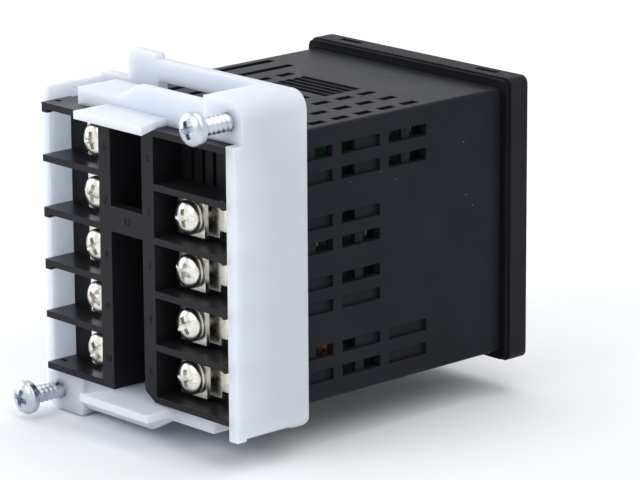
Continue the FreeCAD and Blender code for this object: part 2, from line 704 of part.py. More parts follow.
# Small parts behind open side windows: row, column, place along the window as a share, and the
# part's length, height and rise.
SURFACE_PARTS = (
    (0, 0, 0.12, 2.4, 1.3, 0.9), (0, 0, 0.74, 1.6, 1.0, 0.7), (1, 0, 0.16, 1.5, 1.6, 1.0),
    (1, 0, 0.78, 1.3, 1.6, 0.8), (0, 1, 0.76, 1.4, 1.2, 0.8), (3, 1, 0.08, 2.0, 1.4, 1.1),
    (4, 1, 0.20, 1.4, 1.5, 1.2), (7, 1, 0.74, 1.8, 1.2, 0.6), (3, 2, 0.10, 1.6, 1.2, 0.9),
)


def surface_parts():
    chips = []
    for row, column, share, length, height, rise in SURFACE_PARTS:
        y = column_front(column) + SLOT_LENGTH * share
        z = side_rows()[row]
        chips.append(block(-BOARD_OUTER - rise, -BOARD_OUTER, y, y + length,
                           z - height / 2, z + height / 2))
    return Part.makeCompound(chips)


def output_relay():
    return on_board(-1, BOARD_INNER * RELAY_RISE_SHARE, *RELAY_SHARES)


def power_transformer():
    """A laminated core with two openings for its winding, on the power board."""
    rise = BOARD_INNER * TRANSFORMER_RISE_SHARE
    y0, y1, z0, z1 = TRANSFORMER_SHARES
    core = on_board(1, rise, y0, y1, z0, z1)
    share = (y1 - y0) * COIL_WINDOW_SHARE
    middle = (y0 + y1) / 2
    quarter = (y1 - y0) / 4
    cuts = []
    for centre in (middle - quarter, middle + quarter):
        cuts.append(on_board(1, rise + BEYOND, centre - share / 2, centre + share / 2, z0 / 2, z1 / 2))
    return core.cut(cuts)


def filter_capacitor():
    place, height = CAPACITOR_PLACE
    base = V(BOARD_INNER, along_board(place) + CAPACITOR_RADIUS, BOARD_HALF_HEIGHT * height)
    return Part.makeCylinder(CAPACITOR_RADIUS, BOARD_INNER * CAPACITOR_HEIGHT_SHARE, base, V(-1, 0, 0))


def controller_chip():
    return on_board(-1, CHIP_THICKNESS, *CHIP_SHARES)


def board_link():
    """The pin header that joins the two upright boards near the front."""
    y = BOARD_FRONT + LINK_FROM_FRONT
    return block(-BOARD_INNER, BOARD_INNER, y, y + LINK_LENGTH, -LINK_HEIGHT / 2, LINK_HEIGHT / 2)


# ---------------------------------------------------------------- clamping bracket
def bracket_frame():
    """The two side walls and the front beam: the +X wall and its top, then its turned copy."""
    outer = BRACKET_HALF
    short = BRACKET_BACK - SHORT_WALL_STEP
    wall = block(BRACKET_INNER, outer, BRACKET_FRONT, short, -outer, outer)
    edges = [e for e in long_edges(wall, V(0, 1, 0)) if e.BoundBox.XMin > outer - 0.01]
    wall = wall.makeFillet(BRACKET_RADIUS, edges)
    beam = block(BLOCK_X, outer, BRACKET_FRONT, BRACKET_FRONT + BEAM_THICKNESS, BRACKET_INNER, BEAM_TOP)
    edges = [e for e in long_edges(beam, V(0, 1, 0))
             if e.BoundBox.XMin > outer - 0.01 and e.BoundBox.ZMin > BEAM_TOP - 0.01]
    beam = beam.makeFillet((BEAM_TOP - BRACKET_INNER) * BEAM_CORNER_SHARE, edges)
    tail = block(-outer, -BRACKET_INNER, short, BRACKET_BACK, -outer, BRACKET_INNER)
    return [wall, beam, turned(wall), turned(beam), tail]


def screw_block():
    """The raised corner that takes a clamp screw."""
    body = block(-BRACKET_HALF, BLOCK_X, BRACKET_FRONT, BLOCK_BACK, BRACKET_INNER, RIB_TOP)
    edges = [e for e in long_edges(body, V(0, 1, 0))
             if e.BoundBox.XMax < 0.01 - BRACKET_HALF and e.BoundBox.ZMin > RIB_TOP - 0.01]
    return body.makeFillet(BLOCK_CORNER, edges)


def latch():
    """The springy tongue: its plate, the sloping fence on its back edge, the finger tab and the pawl."""
    seat = BRACKET_INNER
    back = LATCH_BACK - FENCE_THICKNESS
    plate = block(BLOCK_X, LATCH_END_X, LATCH_BACK - LATCH_LENGTH, LATCH_BACK, seat, LATCH_TOP)
    fence = prism([(BLOCK_X, back, LATCH_TOP), (BLOCK_X, back, FENCE_TOP), (0.0, back, FENCE_TOP),
                   (FENCE_END, back, LATCH_TOP)], V(0, FENCE_THICKNESS, 0))
    tab_back = LATCH_BACK + TAB_REACH
    tab = prism([(TAB_HALF_WIDTH, back, seat), (TAB_HALF_WIDTH, tab_back, seat),
                 (-TAB_HALF_WIDTH, tab_back, seat), (-TAB_NECK, BARRIER_BACK, seat),
                 (-TAB_NECK, back, seat)], V(0, 0, TAB_THICKNESS))
    x = PAWL_SIDE - RATCHET_WIDTH / 2
    y = LATCH_BACK - PAWL_FROM_BACK
    pawl = prism([(x, y, seat), (x, y, seat - PAWL_HEIGHT), (x, y + PAWL_LENGTH, seat)],
                 V(-2 * x, 0, 0))
    return [plate, fence, tab, pawl]


def mounting_bracket():
    """The whole moulding: every corner piece twice, half a turn apart, and the rib along the top."""
    end = BRACKET_FRONT + BEAM_THICKNESS
    rib = block(BLOCK_X, RIB_END_X, BRACKET_FRONT, end, BEAM_TOP, RIB_TOP)
    lug = plate_y(LUG_WIDTH / 2, (RIB_TOP + LUG_RISE - BEAM_TOP) / 2 + LUG_CORNER, BRACKET_FRONT, end,
                  LUG_CORNER, RIB_END_X - LUG_WIDTH / 2, (RIB_TOP + LUG_RISE + BEAM_TOP) / 2 - LUG_CORNER)
    corner = [screw_block()] + latch()
    body = fuse(bracket_frame() + corner + [turned(piece) for piece in corner] + [rib, lug])
    arch_end = RIB_END_X - ARCH_FROM_RIB_END
    arch = block(BLOCK_X, arch_end, BRACKET_FRONT - BEYOND, end + BEYOND / 10, BRACKET_INNER - BEYOND,
                 BEAM_TOP)
    bore = rod_y(CLAMP_X, CLAMP_Z, BRACKET_FRONT - BEYOND, BRACKET_BACK, CLAMP_RADIUS + RUNNING)
    return body.cut([arch, bore, turned(bore)])


def clamp_screw():
    return pan_screw(CLAMP_X, CLAMP_Z, CLAMP_HEAD_FRONT, CLAMP_HEAD_RADIUS, CLAMP_HEAD_HEIGHT,
                     CLAMP_RADIUS, CLAMP_LENGTH)


# ---------------------------------------------------------------- assembly
parts = {
    "front_bezel": front_bezel(),
    "display_window": display_window(),
    "upper_display": digit_module(UPPER_Z, UPPER_HEIGHT),
    "lower_display": digit_module(LOWER_Z, LOWER_HEIGHT),
    "status_lamps": status_lamps(),
    "key_switches": key_switches(),
    "panel_gasket": panel_gasket(),
    "case": case(),
    "terminal_block": terminal_block(),
    "terminal_plates": terminal_plates(),
    "display_board": display_board(),
    "main_board": main_board(),
    "power_board": power_board(),
    "board_eyelet": board_eyelet(),
    "surface_parts": surface_parts(),
    "output_relay": output_relay(),
    "power_transformer": power_transformer(),
    "filter_capacitor": filter_capacitor(),
    "controller_chip": controller_chip(),
    "board_link": board_link(),
    "mounting_bracket": mounting_bracket(),
    "clamp_screw_top": clamp_screw(),
    "clamp_screw_bottom": turned(clamp_screw()),
}
for number, x in enumerate(key_places(), 1):
    parts["key_%d" % number] = key(x)
for number, (x, z) in enumerate(terminal_places(), 1):
    parts["terminal_screw_%d" % number] = terminal_screw(x, z)
    parts["terminal_washer_%d" % number] = terminal_washer(x, z)

os.makedirs("parts", exist_ok=True)
for name, shape in parts.items():
    shape.exportStep("parts/%s.step" % name)
    print(name, len(shape.Solids), round(shape.Volume, 2), shape.isValid())
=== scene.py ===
import json
import math

import bpy
from mathutils import Matrix, Vector

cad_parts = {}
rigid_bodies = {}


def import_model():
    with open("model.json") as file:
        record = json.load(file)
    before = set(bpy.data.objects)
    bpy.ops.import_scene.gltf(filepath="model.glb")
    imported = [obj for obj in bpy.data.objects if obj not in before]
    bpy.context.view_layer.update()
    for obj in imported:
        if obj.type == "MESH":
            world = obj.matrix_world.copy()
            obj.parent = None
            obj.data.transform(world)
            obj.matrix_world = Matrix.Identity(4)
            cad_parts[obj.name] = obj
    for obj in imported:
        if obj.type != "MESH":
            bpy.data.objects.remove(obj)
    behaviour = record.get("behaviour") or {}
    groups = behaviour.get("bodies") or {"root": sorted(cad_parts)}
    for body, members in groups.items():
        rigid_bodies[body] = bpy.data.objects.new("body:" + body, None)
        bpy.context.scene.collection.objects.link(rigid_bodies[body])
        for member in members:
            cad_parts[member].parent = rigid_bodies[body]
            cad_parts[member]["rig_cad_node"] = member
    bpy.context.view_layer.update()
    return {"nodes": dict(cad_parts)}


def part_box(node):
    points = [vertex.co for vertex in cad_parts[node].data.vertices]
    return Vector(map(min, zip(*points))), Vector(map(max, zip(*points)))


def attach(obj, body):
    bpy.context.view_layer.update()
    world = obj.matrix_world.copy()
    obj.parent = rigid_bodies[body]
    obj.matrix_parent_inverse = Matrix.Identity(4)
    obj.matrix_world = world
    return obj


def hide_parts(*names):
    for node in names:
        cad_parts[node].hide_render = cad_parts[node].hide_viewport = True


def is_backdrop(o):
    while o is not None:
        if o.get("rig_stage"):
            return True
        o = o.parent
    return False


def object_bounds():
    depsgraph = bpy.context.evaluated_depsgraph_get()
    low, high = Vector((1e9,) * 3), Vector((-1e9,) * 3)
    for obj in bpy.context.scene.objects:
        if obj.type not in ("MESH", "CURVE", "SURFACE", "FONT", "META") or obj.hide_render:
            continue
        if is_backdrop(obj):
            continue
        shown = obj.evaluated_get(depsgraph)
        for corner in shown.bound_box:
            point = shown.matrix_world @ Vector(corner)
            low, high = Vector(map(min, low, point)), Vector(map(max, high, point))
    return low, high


bl_info = {
    "name": "PID temperature controller",
    "version": (1, 0, 0),
    "blender": (4, 5, 0),
    "location": "3D View > Sidebar > Controller",
    "description": "Dresses the panel-mount temperature controller's solids and sets its stage",
    "category": "Object",
}

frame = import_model()

MM = 0.001
KEYS = 4
TERMINALS = 9
TERMINAL_ROWS = 5

WELD = 0.001 * MM            # points nearer than this are one point
SAME_PLACE = 0.02 * MM       # edges and faces nearer than this to a place lie on it
SHARP_ANGLE = 30.0           # edges that turn by more than this are rounded
FACING = 0.99                # a normal's share along an axis, for faces square to it


# -------------------- settings
def colour_setting(name, description, default):
    return bpy.props.FloatVectorProperty(name=name, description=description, subtype="COLOR", size=3,
                                         min=0.0, max=1.0, default=default)


def length_setting(name, description, default):
    return bpy.props.FloatProperty(name=name, description=description, unit="LENGTH", subtype="DISTANCE",
                                   min=0.0, default=default, precision=5)


class ControllerColours(bpy.types.PropertyGroup):
    case: colour_setting("Case", "Charcoal of the sleeve", (0.0160, 0.0170, 0.0222))
    bezel: colour_setting("Bezel", "Black of the front frame", (0.0153, 0.0149, 0.0198))
    block: colour_setting("Terminal block", "Black of the rear moulding", (0.0128, 0.0122, 0.0148))
    gasket: colour_setting("Gasket", "Rubber ring", (0.0040, 0.0040, 0.0050))
    bracket: colour_setting("Bracket", "Milky clamping bracket", (0.660, 0.710, 0.825))
    nickel: colour_setting("Terminals", "Bright plated terminal metal", (0.800, 0.780, 0.720))
    zinc: colour_setting("Clamp screws", "Bluish zinc plating", (0.560, 0.610, 0.680))
    board: colour_setting("Boards", "Green solder mask", (0.005, 0.045, 0.020))
    copper: colour_setting("Copper", "Bare and enamelled copper", (0.720, 0.230, 0.070))
    component: colour_setting("Components", "Black component bodies", (0.012, 0.012, 0.013))
    key: colour_setting("Keys", "Front key caps", (0.075, 0.080, 0.088))
    mark: colour_setting("Key marks", "Pale marks on the keys", (0.700, 0.710, 0.720))
    tin: colour_setting("Tin", "Solder on legs and ends", (0.62, 0.62, 0.60))
    relay: colour_setting("Relay", "Blue relay box", (0.035, 0.075, 0.270))
    core: colour_setting("Core", "Steel sheets of the transformer", (0.22, 0.22, 0.23))
    can: colour_setting("Capacitor", "Sleeve of the capacitor", (0.015, 0.025, 0.060))
    module: colour_setting("Display blocks", "Black of the unlit digit blocks", (0.010, 0.010, 0.011))
    lamp: colour_setting("Lamps", "Clear unlit lamps", (0.42, 0.44, 0.36))
    pane: colour_setting("Window pane", "Smoke of the window", (0.10, 0.10, 0.11))
    segment: colour_setting("Unlit segments", "Digit segments with the power off", (0.200, 0.195, 0.185))
    floor: colour_setting("Floor", "Plain pale floor", (0.930, 0.930, 0.935))


class ControllerSizes(bpy.types.PropertyGroup):
    case_edge: length_setting("Case edge", "Rounding on the sleeve's edges", 0.12 * MM)
    bezel_edge: length_setting("Bezel edge", "Rounding on the frame's edges", 0.18 * MM)
    block_edge: length_setting("Block edge", "Rounding on the rear moulding's edges", 0.12 * MM)
    bracket_edge: length_setting("Bracket edge", "Rounding on the bracket's edges", 0.45 * MM)
    metal_edge: length_setting("Metal edge", "Rounding on washers and plates", 0.10 * MM)
    window_edge: length_setting("Window edge", "Rounding on the window pane", 0.15 * MM)
    lamp_edge: length_setting("Lamp edge", "Rounding on the status lamps", 0.35 * MM)
    key_edge: length_setting("Key edge", "Rounding on the key caps", 0.20 * MM)
    fine_edge: length_setting("Fine edge", "Rounding on digits, marks and other thin pieces", 0.03 * MM)
    leg_edge: length_setting("Leg edge", "Rounding on chip legs and tinned ends", 0.05 * MM)
    head_edge: length_setting("Head edge", "Rounding on the screw heads' recesses", 0.06 * MM)
    shank_edge: length_setting("Shank edge", "Rounding on the ends of the terminal screws", 0.3 * MM)
    coil_edge: length_setting("Coil edge", "Rounding on the coil's ends", 0.4 * MM)
    numeral: length_setting("Numeral height", "Height of the moulded terminal numbers", 1.7 * MM)
    numeral_rise: length_setting("Numeral rise", "How far the numbers stand out", 0.10 * MM)
    thread_pitch: length_setting("Thread pitch", "Pitch of the clamp screws", 0.95 * MM)
    thread_depth: length_setting("Thread depth", "Depth of the clamp screws' thread", 0.30 * MM)


def colours():
    return bpy.context.scene.controller_colours


def sizes():
    return bpy.context.scene.controller_sizes


# -------------------- working steps
def work_on(piece):
    """Makes one piece the only selected and active one."""
    bpy.ops.object.select_all(action="DESELECT")
    piece.select_set(True)
    bpy.context.view_layer.objects.active = piece


def select_faces(piece, wanted):
    """In edit mode, selects the faces whose centre and normal the test accepts."""
    bpy.ops.mesh.select_mode(type="FACE")
    bpy.ops.mesh.select_all(action="DESELECT")
    bpy.ops.object.mode_set(mode="OBJECT")
    for face in piece.data.polygons:
        face.select = wanted(face.center, face.normal)
    bpy.ops.object.mode_set(mode="EDIT")


def select_edges(piece, wanted):
    """In edit mode, selects the edges whose two ends the test accepts."""
    bpy.ops.mesh.select_mode(type="EDGE")
    bpy.ops.mesh.select_all(action="DESELECT")
    bpy.ops.object.mode_set(mode="OBJECT")
    points = piece.data.vertices
    for edge in piece.data.edges:
        edge.select = wanted(points[edge.vertices[0]].co, points[edge.vertices[1]].co)
    bpy.ops.object.mode_set(mode="EDIT")


def edit(piece):
    work_on(piece)
    bpy.ops.object.mode_set(mode="EDIT")


def done():
    bpy.ops.object.mode_set(mode="OBJECT")


def settle(piece):
    """Puts a piece's place, turn and size into its mesh."""
    work_on(piece)
    bpy.ops.object.transform_apply(location=True, rotation=True, scale=True)


def smooth(piece, angle=35.0):
    work_on(piece)
    bpy.ops.object.shade_smooth_by_angle(angle=math.radians(angle))


def outward(piece):
    """Joins doubled points and turns every face outwards."""
    edit(piece)
    bpy.ops.mesh.select_all(action="SELECT")
    bpy.ops.mesh.remove_doubles(threshold=WELD)
    bpy.ops.mesh.normals_make_consistent(inside=False)
    done()


def apply_modifier(piece, kind, **values):
    """Adds a modifier with these values and applies it."""
    work_on(piece)
    modifier = piece.modifiers.new(kind.title(), kind)
    for key, value in values.items():
        setattr(modifier, key, value)
    bpy.ops.object.modifier_apply(modifier=modifier.name)


def round_edges(piece, width, segments=2):
    """Rounds the edges and keeps the flat faces between them flat."""
    smooth(piece)
    apply_modifier(piece, "BEVEL", width=width, segments=segments, limit_method="ANGLE",
                   angle_limit=math.radians(SHARP_ANGLE), use_clamp_overlap=True, harden_normals=True)


def cut_away(piece, cutters):
    """Takes the cutters' space out of a piece and throws the cutters away."""
    for cutter in cutters:
        apply_modifier(piece, "BOOLEAN", object=cutter, operation="DIFFERENCE", solver="EXACT")
        bpy.data.objects.remove(cutter)


def copy_node(node, name):
    """A merged copy of a solid's mesh, ready to be worked on."""
    work_on(frame["nodes"][node])
    bpy.ops.object.duplicate()
    piece = bpy.context.object
    piece.name = name
    del piece["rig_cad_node"]
    piece.data.materials.clear()
    edit(piece)
    bpy.ops.mesh.customdata_custom_splitnormals_clear()
    bpy.ops.mesh.select_all(action="SELECT")
    bpy.ops.mesh.remove_doubles(threshold=WELD)
    bpy.ops.mesh.dissolve_limited(angle_limit=math.radians(1.0))
    done()
    return piece


def copy_piece(piece, name, place, turn):
    """A copy with its own mesh, turned round Y about its own origin and set at a place."""
    work_on(piece)
    bpy.ops.object.duplicate()
    copy = bpy.context.object
    copy.name = name
    copy.matrix_world = Matrix.Translation(place) @ Matrix.Rotation(turn, 4, "Y")
    settle(copy)
    return copy


def finish_piece(piece, material, body, slot, *replaced):
    """Gives a piece its material, ties it to its body and hides the solids it stands for."""
    piece.data.materials.clear()
    piece.data.materials.append(material)
    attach(piece, body)
    if replaced:
        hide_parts(*replaced)
    return piece


def dress(node, material):
    """Gives a solid that is shown as it is its material."""
    node_materials = frame["nodes"][node].data.materials
    node_materials.clear()
    node_materials.append(material)


def centre(node):
    low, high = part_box(node)
    return (low + high) / 2


def add_block(name, low, high):
    """A cube stretched between two corners."""
    low, high = Vector(low), Vector(high)
    bpy.ops.mesh.primitive_cube_add(size=1.0, location=(low + high) / 2)
    piece = bpy.context.object
    piece.name = name
    piece.scale = high - low
    settle(piece)
    return piece


def add_rod(name, radius, length, place, sides=24):
    """A cylinder along Y with its middle at a place."""
    bpy.ops.mesh.primitive_cylinder_add(vertices=sides, radius=radius, depth=length, location=place,
                                        rotation=(math.radians(90.0), 0.0, 0.0))
    piece = bpy.context.object
    piece.name = name
    settle(piece)
    return piece


def join(pieces, name):
    """Makes one piece of several."""
    bpy.ops.object.select_all(action="DESELECT")
    for piece in pieces:
        piece.select_set(True)
    bpy.context.view_layer.objects.active = pieces[0]
    bpy.ops.object.join()
    pieces[0].name = name
    return pieces[0]


# -------------------- finishes
class Finish:
    """A material under construction: a principled shader with object coordinates to hand."""

    def __init__(self, name, colour, roughness, metallic=0.0):
        self.material = bpy.data.materials.new(name)
        self.material.use_nodes = True
        self.nodes = self.material.node_tree.nodes
        self.links = self.material.node_tree.links
        self.shader = self.nodes["Principled BSDF"]
        self.set("Base Color", (*colour, 1.0))
        self.set("Roughness", roughness)
        self.set("Metallic", metallic)
        self.place = self.nodes.new("ShaderNodeTexCoord").outputs["Object"]

    def set(self, socket, value):
        self.shader.inputs[socket].default_value = value

    def noise(self, size, detail=3.0, stretch=(1.0, 1.0, 1.0)):
        """Noise whose features are about size across, in metres."""
        mapping = self.nodes.new("ShaderNodeMapping")
        mapping.inputs["Scale"].default_value = stretch
        self.links.new(self.place, mapping.inputs["Vector"])
        noise = self.nodes.new("ShaderNodeTexNoise")
        noise.inputs["Scale"].default_value = 1.0 / size
        noise.inputs["Detail"].default_value = detail
        self.links.new(mapping.outputs["Vector"], noise.inputs["Vector"])
        return noise.outputs["Fac"]

    def bands(self, axis, width, distortion=0.0):
        """Even bands across an axis."""
        wave = self.nodes.new("ShaderNodeTexWave")
        wave.bands_direction = axis
        wave.inputs["Scale"].default_value = 1.0 / width
        wave.inputs["Distortion"].default_value = distortion
        self.links.new(self.place, wave.inputs["Vector"])
        return wave.outputs["Fac"]

    def bump(self, height, depth, strength=1.0):
        """Raises and sinks the surface by a height between 0 and 1, depth metres deep."""
        bump = self.nodes.new("ShaderNodeBump")
        bump.inputs["Strength"].default_value = strength
        bump.inputs["Distance"].default_value = depth
        self.links.new(height, bump.inputs["Height"])
        self.links.new(bump.outputs["Normal"], self.shader.inputs["Normal"])

    def ramp(self, value, stops):
        """Turns a value between 0 and 1 into a colour, by (value, colour) stops."""
        ramp = self.nodes.new("ShaderNodeValToRGB")
        elements = ramp.color_ramp.elements
        while len(elements) < len(stops):
            elements.new(0.5)
        for element, (place, colour) in zip(elements, stops):
            element.position = place
            element.color = (*colour, 1.0)
        self.links.new(value, ramp.inputs["Fac"])
        return ramp.outputs["Color"]

    def shades(self, value, colour, dark, light):
        """A colour that wavers between a darker and a lighter tint of itself."""
        low, high = 0.30, 0.70
        return self.ramp(value, [(low, tint(colour, dark)), (high, tint(colour, light))])

    def vary_roughness(self, value, low, high):
        spread = self.nodes.new("ShaderNodeMapRange")
        spread.inputs["To Min"].default_value = low
        spread.inputs["To Max"].default_value = high
        self.links.new(value, spread.inputs["Value"])
        self.links.new(spread.outputs["Result"], self.shader.inputs["Roughness"])

    def glancing_gloss(self, facing, glancing):
        """Less gloss where the surface faces the viewer, more where it is seen along its length."""
        weight = self.nodes.new("ShaderNodeLayerWeight")
        weight.inputs["Blend"].default_value = 0.5
        spread = self.nodes.new("ShaderNodeMapRange")
        spread.interpolation_type = "SMOOTHSTEP"
        spread.inputs["From Min"].default_value = 0.40
        spread.inputs["From Max"].default_value = 0.80
        spread.inputs["To Min"].default_value = facing
        spread.inputs["To Max"].default_value = glancing
        self.links.new(weight.outputs["Facing"], spread.inputs["Value"])
        self.links.new(spread.outputs["Result"], self.shader.inputs["Specular IOR Level"])

    def colour_from(self, output):
        self.links.new(output, self.shader.inputs["Base Color"])


def tint(colour, amount):
    return tuple(min(1.0, channel * amount) for channel in colour)


def dusted(finish, colour_output):
    """The same colour with a few pale dust specks on it, gathered in patches."""
    black, white = (0.0, 0.0, 0.0), (1.0, 1.0, 1.0)
    dust = finish.nodes.new("ShaderNodeTexVoronoi")
    dust.inputs["Scale"].default_value = 1.0 / (2.3 * MM)
    finish.links.new(finish.place, dust.inputs["Vector"])
    speck = finish.ramp(dust.outputs["Distance"], [(0.030, white), (0.045, black)])
    patch = finish.ramp(finish.noise(6.0 * MM, 1.0), [(0.50, black), (0.54, white)])
    both = finish.nodes.new("ShaderNodeMath")
    both.operation = "MULTIPLY"
    finish.links.new(speck, both.inputs[0])
    finish.links.new(patch, both.inputs[1])
    mix = finish.nodes.new("ShaderNodeMix")
    mix.data_type = "RGBA"
    mix.inputs["B"].default_value = (0.30, 0.30, 0.32, 1.0)
    finish.links.new(both.outputs["Value"], mix.inputs["Factor"])
    finish.links.new(colour_output, mix.inputs["A"])
    return mix.outputs["Result"]


def moulded(name, colour, roughness, grain, depth, facing, glancing, index=1.5, specks=False):
    """Moulded black plastic: a fine spark-eroded grain, cloudy sheen and, if asked, dust specks."""
    finish = Finish(name, colour, roughness)
    finish.glancing_gloss(facing, glancing)
    finish.set("IOR", index)
    cloud = finish.noise(9.0 * MM, 2.0)
    finish.vary_roughness(cloud, roughness - 0.06, roughness + 0.08)
    finish.bump(finish.noise(grain, 2.0), depth)
    cloudy = finish.ramp(cloud, [(0.30, tint(colour, 0.88)), (0.72, tint(colour, 1.12))])
    finish.colour_from(dusted(finish, cloudy) if specks else cloudy)
    return finish.material


def milky(name, colour):
    """Translucent moulding: light spreads inside it and the surface has a soft sheen."""
    finish = Finish(name, colour, 0.38)
    finish.set("Subsurface Weight", 0.85)
    finish.set("Subsurface Radius", (1.0, 1.0, 1.0))
    finish.set("Subsurface Scale", 7.0 * MM)
    finish.set("Specular IOR Level", 0.35)
    cloud = finish.noise(11.0 * MM, 2.0)
    finish.colour_from(finish.shades(cloud, colour, 0.965, 1.02))
    finish.vary_roughness(cloud, 0.32, 0.46)
    finish.bump(finish.noise(0.5 * MM, 2.0), 0.008 * MM)
    return finish.material


def plated(name, colour, roughness):
    """Plated metal: fine pits, slight clouding and small scratches."""
    finish = Finish(name, colour, roughness, 1.0)
    cloud = finish.noise(1.6 * MM, 3.0)
    finish.colour_from(finish.shades(cloud, colour, 0.80, 1.05))
    finish.vary_roughness(cloud, roughness - 0.07, roughness + 0.10)
    finish.bump(finish.noise(0.25 * MM, 3.0, (1.0, 1.0, 3.0)), 0.02 * MM)
    return finish.material


def rubber(name, colour):
    """Dull rubber with a fine skin."""
    finish = Finish(name, colour, 0.75)
    finish.set("Specular IOR Level", 0.12)
    finish.bump(finish.noise(0.4 * MM, 3.0), 0.03 * MM)
    finish.vary_roughness(finish.noise(3.0 * MM), 0.65, 0.85)
    return finish.material


def solder_mask(name, colour):
    """A green board, lighter where tracks run under the mask."""
    finish = Finish(name, colour, 0.35)
    tracks = finish.nodes.new("ShaderNodeTexBrick")
    tracks.inputs["Scale"].default_value = 1.0 / (3.0 * MM)
    tracks.inputs["Mortar Size"].default_value = 0.10
    tracks.inputs["Color1"].default_value = (*tint(colour, 0.75), 1.0)
    tracks.inputs["Color2"].default_value = (*colour, 1.0)
    tracks.inputs["Mortar"].default_value = (*tint(colour, 1.9), 1.0)
    turn = finish.nodes.new("ShaderNodeMapping")
    turn.inputs["Rotation"].default_value = (0.0, math.radians(90.0), 0.0)
    finish.links.new(finish.place, turn.inputs["Vector"])
    finish.links.new(turn.outputs["Vector"], tracks.inputs["Vector"])
    finish.colour_from(tracks.outputs["Color"])
    finish.bump(tracks.outputs["Fac"], 0.02 * MM, 0.5)
    return finish.material


def smoked(name, colour):
    """Dark see-through window."""
    finish = Finish(name, colour, 0.04)
    finish.set("Transmission Weight", 0.92)
    finish.set("IOR", 1.49)
    finish.bump(finish.noise(12.0 * MM, 1.0), 0.01 * MM, 0.3)
    return finish.material


def matt(name, colour, roughness=0.55):
    """A small plain moulded part with a light grain."""
    finish = Finish(name, colour, roughness)
    cloud = finish.noise(2.0 * MM, 2.0)
    finish.colour_from(finish.shades(cloud, colour, 0.85, 1.10))
    finish.bump(finish.noise(0.3 * MM, 2.0), 0.01 * MM)
    return finish.material


def winding(name, colour):
    """Enamelled wire wound side by side, with painted shade in the grooves between the strands."""
    finish = Finish(name, colour, 0.32, 0.6)
    strands = finish.bands("Z", 1.4 * MM, 0.4)
    finish.bump(strands, 0.10 * MM)
    # painted shade: the grooves between the strands are darkened to 0.35 of the copper colour
    finish.colour_from(finish.ramp(strands, [(0.15, tint(colour, 0.35)), (0.65, colour)]))
    return finish.material


def laminations(name, colour):
    """Thin steel sheets stacked along X."""
    finish = Finish(name, colour, 0.45, 0.8)
    finish.bump(finish.bands("X", 1.6 * MM), 0.05 * MM)
    return finish.material


# -------------------- front
KEY_RIM = 0.45 * MM
KEY_DISH = 0.22 * MM
MARK_SUNK = 0.16 * MM        # middle of a key's mark behind the key's rim
MARK_DEPTH = 0.16 * MM
RING_RADIUS = 1.08 * MM
RING_WIDTH = 0.28 * MM
ARROW_RADIUS = 1.15 * MM
ARROW_TURNS = {2: 90.0, 3: 180.0, 4: 0.0}

DIGITS = 4
DIGIT_HEIGHT_SHARE = 0.60    # of the display's height
DIGIT_WIDTH_SHARE = 0.46     # of the digits' pitch
SEGMENT_SHARE = 0.10         # a segment's thickness as a share of the digit's height
SEGMENT_DEPTH = 0.12 * MM
DIGIT_SUNK = 0.20 * MM       # middle of a segment behind the display's face
POINT_SHARE = 0.78           # how far beside the digit its point stands, in digit widths
POINT_LENGTH_SHARE = 1.6


